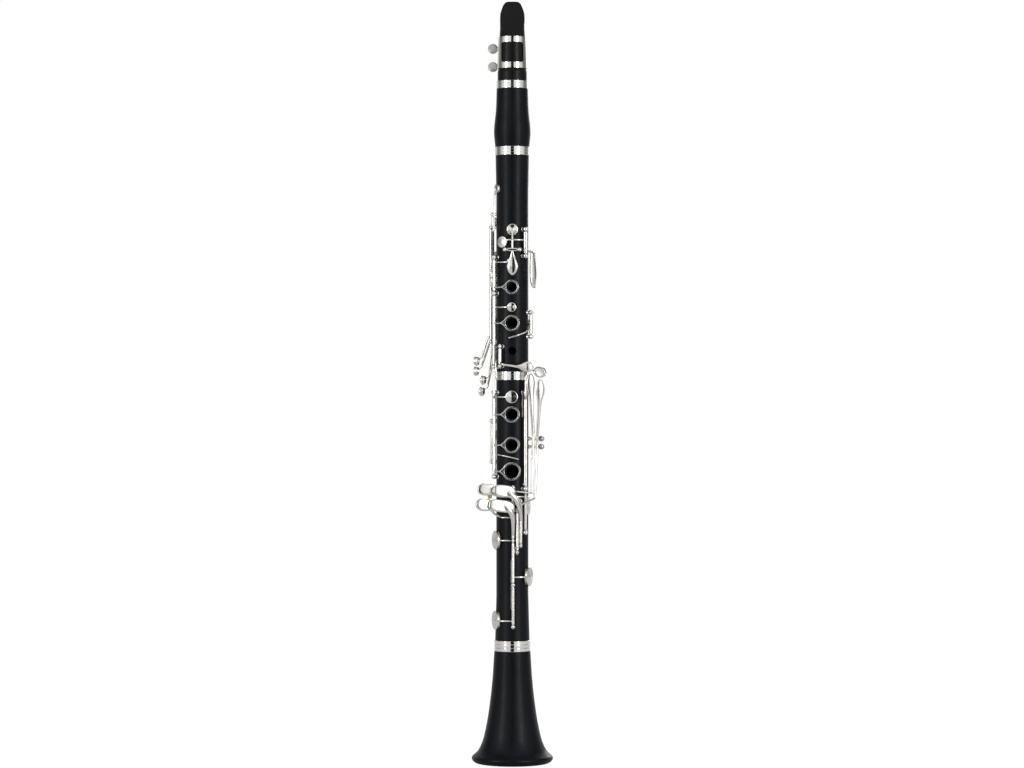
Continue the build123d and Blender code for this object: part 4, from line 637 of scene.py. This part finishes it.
key_extras = {
    "a_flat_key": [little_pillow(-30.6, -15.8, 240.2, 10.6, -3.0, (2.3, 5.0))],
    "f_sharp_key": [
        little_pillow(-17.6, 2.4, 238.9, 10.8, -6.0, (3.4, 2.5), f_sharp_hinge),
        swung(
            horn(
                [
                    ((-7.0, -24.4, 237.2), (0, 0, 2.8), (0, -0.9, 0)),
                    ((-2.0, -24.1, 235.6), (1.0, 0, 2.6), (0, -1.2, 0)),
                    ((2.2, -23.2, 231.6), (1.8, 0, 1.1), (0, -1.2, 0)),
                    ((5.0, -21.7, 225.2), (1.5, 0, 0.4), (0, -1.2, 0)),
                    ((6.9, -19.6, 219.4), (1.4, 0, 0.1), (0, -1.2, 0)),
                    ((7.3, -17.4, 213.0), (1.35, 0, 0), (0, -1.35, 0)),
                ]
            ),
            f_sharp_hinge,
            open_turn,
        ),
    ],
    "f_touch_lever": [little_pillow(-32.4, -19.4, 227.2, 10.8, -6.0, (2.3, 5.0), f_touch_hinge)],
    "e_key": [
        little_pillow(-21.4, 2.0, 225.9, 11.0, -8.0, (3.4, 2.5), e_hinge),
        swung(
            horn(
                [
                    ((-8.0, -24.4, 225.0), (0, 0, 2.9), (0, -0.9, 0)),
                    ((-3.6, -24.0, 222.6), (1.0, 0, 2.6), (0, -1.2, 0)),
                    ((-0.8, -22.8, 218.4), (1.8, 0, 1.2), (0, -1.4, 0)),
                    ((0.3, -20.9, 212.4), (1.7, 0, 0.4), (0, -1.6, 0)),
                    ((0.6, -18.9, 205.6), (1.45, 0, 0), (0, -1.5, 0)),
                    ((0.6, -18.3, 200.0), (1.3, 0, 0), (0, -1.3, 0)),
                ]
            ),
            e_hinge,
            open_turn,
        ),
    ],
    "throat_a_key": [a_leaf],
    "left_c_sharp_key": [c_sharp_tear],
    "left_f_lever": [f_lever_oval],
    "left_e_lever": [e_leaf],
    "left_f_sharp_lever": [f_sharp_leaf],
    "throat_g_sharp_key": [g_sharp_spoon],
    "register_key": [register_spoon],
    "side_key_1": [side_dome(0)],
    "side_key_2": [side_dome(1)],
    "side_key_3": [side_dome(2)],
    "side_key_4": [side_dome(3)],
}
key_reshape = {
    "a_flat_key": leaned_plate(-30.0, -15.8),
    "f_sharp_key": leaned_plate(-14.9, 1.5, f_sharp_hinge),
    "f_touch_lever": leaned_plate(-32.2, -19.9, f_touch_hinge),
    "e_key": leaned_plate(-18.6, 1.0, e_hinge),
    "throat_a_key": pushed_back((-6, 420), (6, 446.0), -21.2),
    "left_c_sharp_key": pushed_back((3.5, 340), (20, 353), -20.9),
    "left_f_lever": pushed_back((18, 336), (31, 349), -16.8),
    "left_e_lever": pushed_back((12, 318), (21, 342), -16.6),
    "left_f_sharp_lever": pushed_back((19, 313), (29, 337), -16.8),
}
soft_touches = (
    "a_flat_key",
    "f_sharp_key",
    "f_touch_lever",
    "e_key",
    "left_c_sharp_key",
    "left_f_lever",
    "left_e_lever",
    "left_f_sharp_lever",
)
for key_name in sorted(name for name in nodes if slots[name] == "keys"):
    softened(
        key_name + "_plated",
        key_name,
        body_of_node[key_name],
        touch_plate if key_name in soft_touches else plate,
        key_extras.get(key_name, ()),
        reshape=key_reshape.get(key_name),
    )
for post_name in ("upper_posts", "lower_posts"):
    softened(post_name + "_turned", post_name, root_body, plate, easing=4)


# ---- Rings with their turned grooves ----
ring_proud = 0.2
ring_depth = 0.9
ring_bands = 3
groove_depth = 0.30


def ring_profile(radius, z_low, height):
    """The section of a ring: three flat bands between two fine grooves."""
    inner = radius - ring_depth
    outer = radius + ring_proud
    step = height / ring_bands
    line = [(inner, z_low)]
    for band in range(ring_bands):
        base = z_low + band * step
        for share, drop in (
            (0.0, groove_depth),
            (0.03, 0.12),
            (0.06, 0.03),
            (0.09, 0.0),
            (0.12, 0.0),
            (0.88, 0.0),
            (0.91, 0.0),
            (0.94, 0.03),
            (0.97, 0.12),
        ):
            line.append((outer - drop, base + share * step))
    line.append((outer - groove_depth, z_low + height))
    line.append((inner, z_low + height))
    return line


middle_ring_height = 7.4
bell_ring_height = 9.4
barrel_lower_ring_height = 7.5
barrel_upper_ring_height = 6.6
middle_ring_line = ring_profile(14.05, lower_top - middle_ring_height, middle_ring_height)
bell_ring_line = ring_profile(15.6, bell_top - bell_ring_height, bell_ring_height)
barrel_lower_line = ring_profile(14.9, upper_top, barrel_lower_ring_height)
barrel_upper_line = ring_profile(
    13.65, barrel_top - barrel_upper_ring_height, barrel_upper_ring_height
)
lathe("middle_ring_turned", middle_ring_line, ring_plate, ["middle_ring"])
lathe("bell_ring_turned", bell_ring_line, ring_plate, ["bell_ring"])
lathe("barrel_lower_ring", barrel_lower_line, ring_plate, ["barrel_rings"])
lathe("barrel_upper_ring", barrel_upper_line, ring_plate)

# ---- The bell, with its smooth flare and rolled rim ----
tenon_socket_radius = 11.08
throat_z = 90.45
throat_radius = 9.4
ring_seat_radius = 14.75
ring_seat_z = bell_top - bell_ring_height
bell_outside = [
    (29.8, 0.0),
    (31.6, 0.25),
    (33.3, 1.0),
    (34.6, 2.1),
    (35.4, 3.4),
    (35.6, 4.6),
    (35.2, 5.8),
    (34.4, 6.7),
    (33.2, 7.7),
    (31.6, 9.2),
    (30.1, 10.9),
    (28.9, 12.9),
    (28.0, 14.7),
    (26.6, 18.1),
    (25.4, 21.7),
    (24.1, 26.8),
    (23.0, 32.2),
    (22.0, 37.4),
    (21.1, 42.7),
    (20.35, 48.0),
    (19.65, 53.2),
    (19.0, 58.5),
    (18.4, 63.7),
    (17.9, 69.0),
    (17.4, 74.2),
    (17.0, 79.5),
    (16.7, 84.8),
    (16.35, 90.0),
    (16.1, 94.5),
    (15.8, 98.1),
]
bell_inside = [
    (throat_radius, throat_z),
    (10.2, 80.0),
    (11.3, 70.0),
    (12.6, 60.0),
    (14.0, 50.0),
    (15.5, 40.0),
    (17.2, 30.0),
    (19.4, 20.0),
    (22.4, 11.0),
    (25.2, 5.0),
    (27.0, 2.4),
    (27.5, 0.7),
    (28.4, 0.0),
]


curve_steps = 5


def curved(line):
    """The same line with smooth runs between its points."""
    points = [Vector(point) for point in line]
    points = [points[0]] + points + [points[-1]]
    smooth_line = []
    for k in range(1, len(points) - 2):
        smooth_line += [
            tuple(catmull(*points[k - 1:k + 3], i / curve_steps))
            for i in range(curve_steps)
        ]
    return smooth_line + [tuple(line[-1])]


bell_seats = [
    (ring_seat_radius, ring_seat_z),
    (ring_seat_radius, bell_top),
    (tenon_socket_radius, bell_top),
    (tenon_socket_radius, throat_z),
]
bell_line = curved(bell_outside) + bell_seats + curved(bell_inside)
lathe("bell_turned", bell_line, body_black, ["bell"])

# ---- Felt buffer between the little-finger touches ----
felt_buffer = pillow(
    (-19.6, -20.9, 234.3), front, up, 1.9, 2.3, 0.5, depth=1.1, powers=(2.6, 2.6)
)
felt_mesh = bpy.data.meshes.new("felt_buffer")
bmesh.ops.recalc_face_normals(felt_buffer, faces=felt_buffer.faces)
felt_buffer.to_mesh(felt_mesh)
felt_buffer.free()
felt_piece = link("felt_buffer", felt_mesh)
smooth(felt_mesh)
paint(felt_piece, felt)
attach(felt_piece, "a_flat_key")


# ---- Ligature screws with domed, knurled heads ----
screw_axis_y = 15.6
coin_middle_x = -17.0
coin_radius = 4.5
coin_half = 1.15
coin_lean = math.radians(-14)
knurls = 26
knurl_depth = 0.16
stem_sides = 32


def coin_head(z):
    """A round thumb head, face on to the front, domed on both sides and knurled around its edge."""
    rings = []
    for share, y in (
        (0.05, -coin_half * 1.35),
        (0.45, -coin_half * 1.30),
        (0.80, -coin_half * 1.12),
        (0.94, -coin_half * 0.95),
        (1.0, -coin_half * 0.6),
        (1.0, coin_half * 0.6),
        (0.94, coin_half * 0.95),
        (0.80, coin_half * 1.12),
        (0.45, coin_half * 1.30),
        (0.05, coin_half * 1.35),
    ):
        ring = []
        for i in range(knurls * 4):
            turn = 2 * math.pi * i / (knurls * 4)
            bite = knurl_depth if share == 1.0 and i % 4 in (0, 1) else 0.0
            radius = coin_radius * share - bite
            flat = Vector((radius * math.cos(turn), y, radius * math.sin(turn)))
            flat.rotate(Matrix.Rotation(coin_lean, 3, "X"))
            ring.append(flat + Vector((coin_middle_x, screw_axis_y, z)))
        rings.append(ring)
    bm = bmesh.new()
    closed_tube(bm, rings)
    return bm


def screw_stem(z):
    """The neck, collar and shank of a ligature screw."""
    rings = []
    for x, radius in (
        (coin_middle_x + coin_radius - 1.2, 1.0),
        (coin_middle_x + coin_radius - 0.2, 1.6),
        (-10.6, 1.2),
        (-9.4, 1.3),
        (-9.1, 2.0),
        (-6.4, 2.0),
        (-6.2, 1.2),
        (6.5, 1.2),
        (6.7, 1.0),
    ):
        rings.append(
            [
                Vector(
                    (
                        x,
                        screw_axis_y + radius * math.cos(2 * math.pi * i / stem_sides),
                        z + radius * math.sin(2 * math.pi * i / stem_sides),
                    )
                )
                for i in range(stem_sides)
            ]
        )
    bm = bmesh.new()
    closed_tube(bm, rings)
    return bm


def ligature_screw(node_name, z):
    """A turned ligature screw that takes the place of the CAD one."""
    bm = bmesh.new()
    mesh = bpy.data.meshes.new(node_name + "_turned")
    for part in (coin_head(z), screw_stem(z)):
        bmesh.ops.recalc_face_normals(part, faces=part.faces)
        part.to_mesh(mesh)
        part.free()
        bm.from_mesh(mesh)
    bm.to_mesh(mesh)
    bm.free()
    obj = link(node_name + "_turned", mesh)
    smooth(mesh)
    paint(obj, knob_plate)
    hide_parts(node_name)
    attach(obj, body_of_node[node_name])


ligature_screw("ligature_screw_lower", 611.3)
ligature_screw("ligature_screw_upper", 627.3)

# ---- Studio ----
scene = bpy.context.scene
scene.view_settings.view_transform = "Standard"


def white_seen(tree, plain, amount):
    """Mixes a share of white into a plain shader where the camera sees it."""
    path = tree.nodes.new("ShaderNodeLightPath")
    share = tree.nodes.new("ShaderNodeMath")
    share.operation = "MULTIPLY"
    share.inputs[1].default_value = amount
    tree.links.new(path.outputs["Is Camera Ray"], share.inputs[0])
    white = tree.nodes.new("ShaderNodeEmission")
    white.inputs["Color"].default_value = (1, 1, 1, 1)
    white.inputs["Strength"].default_value = 1.07
    mix = tree.nodes.new("ShaderNodeMixShader")
    tree.links.new(share.outputs[0], mix.inputs[0])
    tree.links.new(plain, mix.inputs[1])
    tree.links.new(white.outputs[0], mix.inputs[2])
    return mix.outputs[0]


def flat_panel(name, corners):
    """A four-cornered stage panel."""
    bm = bmesh.new()
    bm.faces.new([bm.verts.new(corner) for corner in corners])
    mesh = bpy.data.meshes.new(name)
    bm.to_mesh(mesh)
    bm.free()
    return link(name, mesh)


floor_half = 12
floor = flat_panel(
    "floor",
    [
        (-floor_half, -floor_half, 0),
        (floor_half, -floor_half, 0),
        (floor_half, floor_half, 0),
        (-floor_half, floor_half, 0),
    ],
)
floor_material, floor_tree, floor_shader = new_material("pale_floor")
floor_shader.inputs["Roughness"].default_value = 0.9
floor_shader.inputs["Specular IOR Level"].default_value = 0.1
floor_tint = ramp(
    floor_tree, noise(floor_tree, 3.0), [(0.3, (0.80, 0.80, 0.80)), (0.7, (0.84, 0.84, 0.84))]
)
floor_tree.links.new(floor_tint, floor_shader.inputs["Base Color"])
floor_out = floor_tree.nodes["Material Output"]
floor_tree.links.new(
    white_seen(floor_tree, floor_shader.outputs[0], 0.9), floor_out.inputs["Surface"]
)
paint(floor, floor_material)

# The gap between the two soft boxes, in metres, which polished metal shows as a dark line.
gap_half = 0.12
gap_y = -0.6
gap_top = 0.9
gap = flat_panel(
    "gap_between_lights",
    [
        (-gap_half, gap_y, 0.002),
        (gap_half, gap_y, 0.002),
        (gap_half, gap_y, gap_top),
        (-gap_half, gap_y, gap_top),
    ],
)
gap_material, _, gap_shader = new_material("dark_gap")
gap_shader.inputs["Base Color"].default_value = (0.004, 0.004, 0.004, 1)
gap_shader.inputs["Roughness"].default_value = 1.0
gap_shader.inputs["Specular IOR Level"].default_value = 0.0
paint(gap, gap_material)
gap.visible_camera = False
gap.visible_diffuse = False
gap.visible_shadow = False

world = bpy.data.worlds.new("studio")
scene.world = world
world.use_nodes = True
sky = world.node_tree
sky.nodes.clear()
out = sky.nodes.new("ShaderNodeOutputWorld")
path = sky.nodes.new("ShaderNodeLightPath")
plain = sky.nodes.new("ShaderNodeBackground")
plain.inputs["Color"].default_value = (1, 1, 1, 1)
plain.inputs["Strength"].default_value = 0.55
seen = sky.nodes.new("ShaderNodeBackground")
seen.inputs["Color"].default_value = (1, 1, 1, 1)
mirrored = sky.nodes.new("ShaderNodeBackground")
direction = sky.nodes.new("ShaderNodeTexCoord")
split = sky.nodes.new("ShaderNodeSeparateXYZ")
sky.links.new(direction.outputs["Generated"], split.inputs[0])
turn_share = sky.nodes.new("ShaderNodeMapRange")
turn_share.inputs["From Min"].default_value = 1.0
turn_share.inputs["From Max"].default_value = -1.0
sky.links.new(split.outputs["Y"], turn_share.inputs["Value"])
studio_tone = ramp(
    sky,
    turn_share.outputs["Result"],
    [
        (0.0, (0.75, 0.75, 0.74)),
        (0.14, (0.62, 0.62, 0.61)),
        (0.25, (0.20, 0.20, 0.19)),
        (0.44, (0.15, 0.15, 0.14)),
        (0.62, (0.72, 0.72, 0.71)),
        (0.78, (0.90, 0.90, 0.89)),
        (1.0, (0.95, 0.95, 0.94)),
    ],
)
sky.links.new(studio_tone, mirrored.inputs["Color"])
mix_glossy = sky.nodes.new("ShaderNodeMixShader")
sky.links.new(path.outputs["Is Glossy Ray"], mix_glossy.inputs[0])
sky.links.new(plain.outputs[0], mix_glossy.inputs[1])
sky.links.new(mirrored.outputs[0], mix_glossy.inputs[2])
mix_camera = sky.nodes.new("ShaderNodeMixShader")
sky.links.new(path.outputs["Is Camera Ray"], mix_camera.inputs[0])
sky.links.new(mix_glossy.outputs[0], mix_camera.inputs[1])
sky.links.new(seen.outputs[0], mix_camera.inputs[2])
sky.links.new(mix_camera.outputs[0], out.inputs["Surface"])


aim_height = 0.33


def soft_box(name, x, y, z, width, height, power):
    """A soft light that faces the instrument, placed in metres."""
    light = bpy.data.lights.new(name, "AREA")
    light.shape = "RECTANGLE"
    light.size = width
    light.size_y = height
    light.energy = power
    obj = bpy.data.objects.new(name, light)
    obj.location = (x, y, z)
    aim = Vector((0, 0, aim_height)) - obj.location
    obj.rotation_euler = aim.to_track_quat("-Z", "Y").to_euler()
    scene.collection.objects.link(obj)


soft_box("light_left", -1.9, -1.7, 0.55, 0.6, 1.8, 16.0)
soft_box("light_right", 1.7, -2.0, 0.55, 0.6, 1.8, 22.0)
soft_box("light_back", 0.6, 2.4, 1.2, 1.4, 1.4, 18.0)

camera_data = bpy.data.cameras.new("camera")
camera_data.sensor_width = 36.0
camera_data.lens = 112.3
camera = bpy.data.objects.new("camera", camera_data)
camera.location = (-0.0003, -2.8, 0.332)
camera.rotation_euler = (math.radians(90), 0, 0)
scene.collection.objects.link(camera)
scene.camera = camera
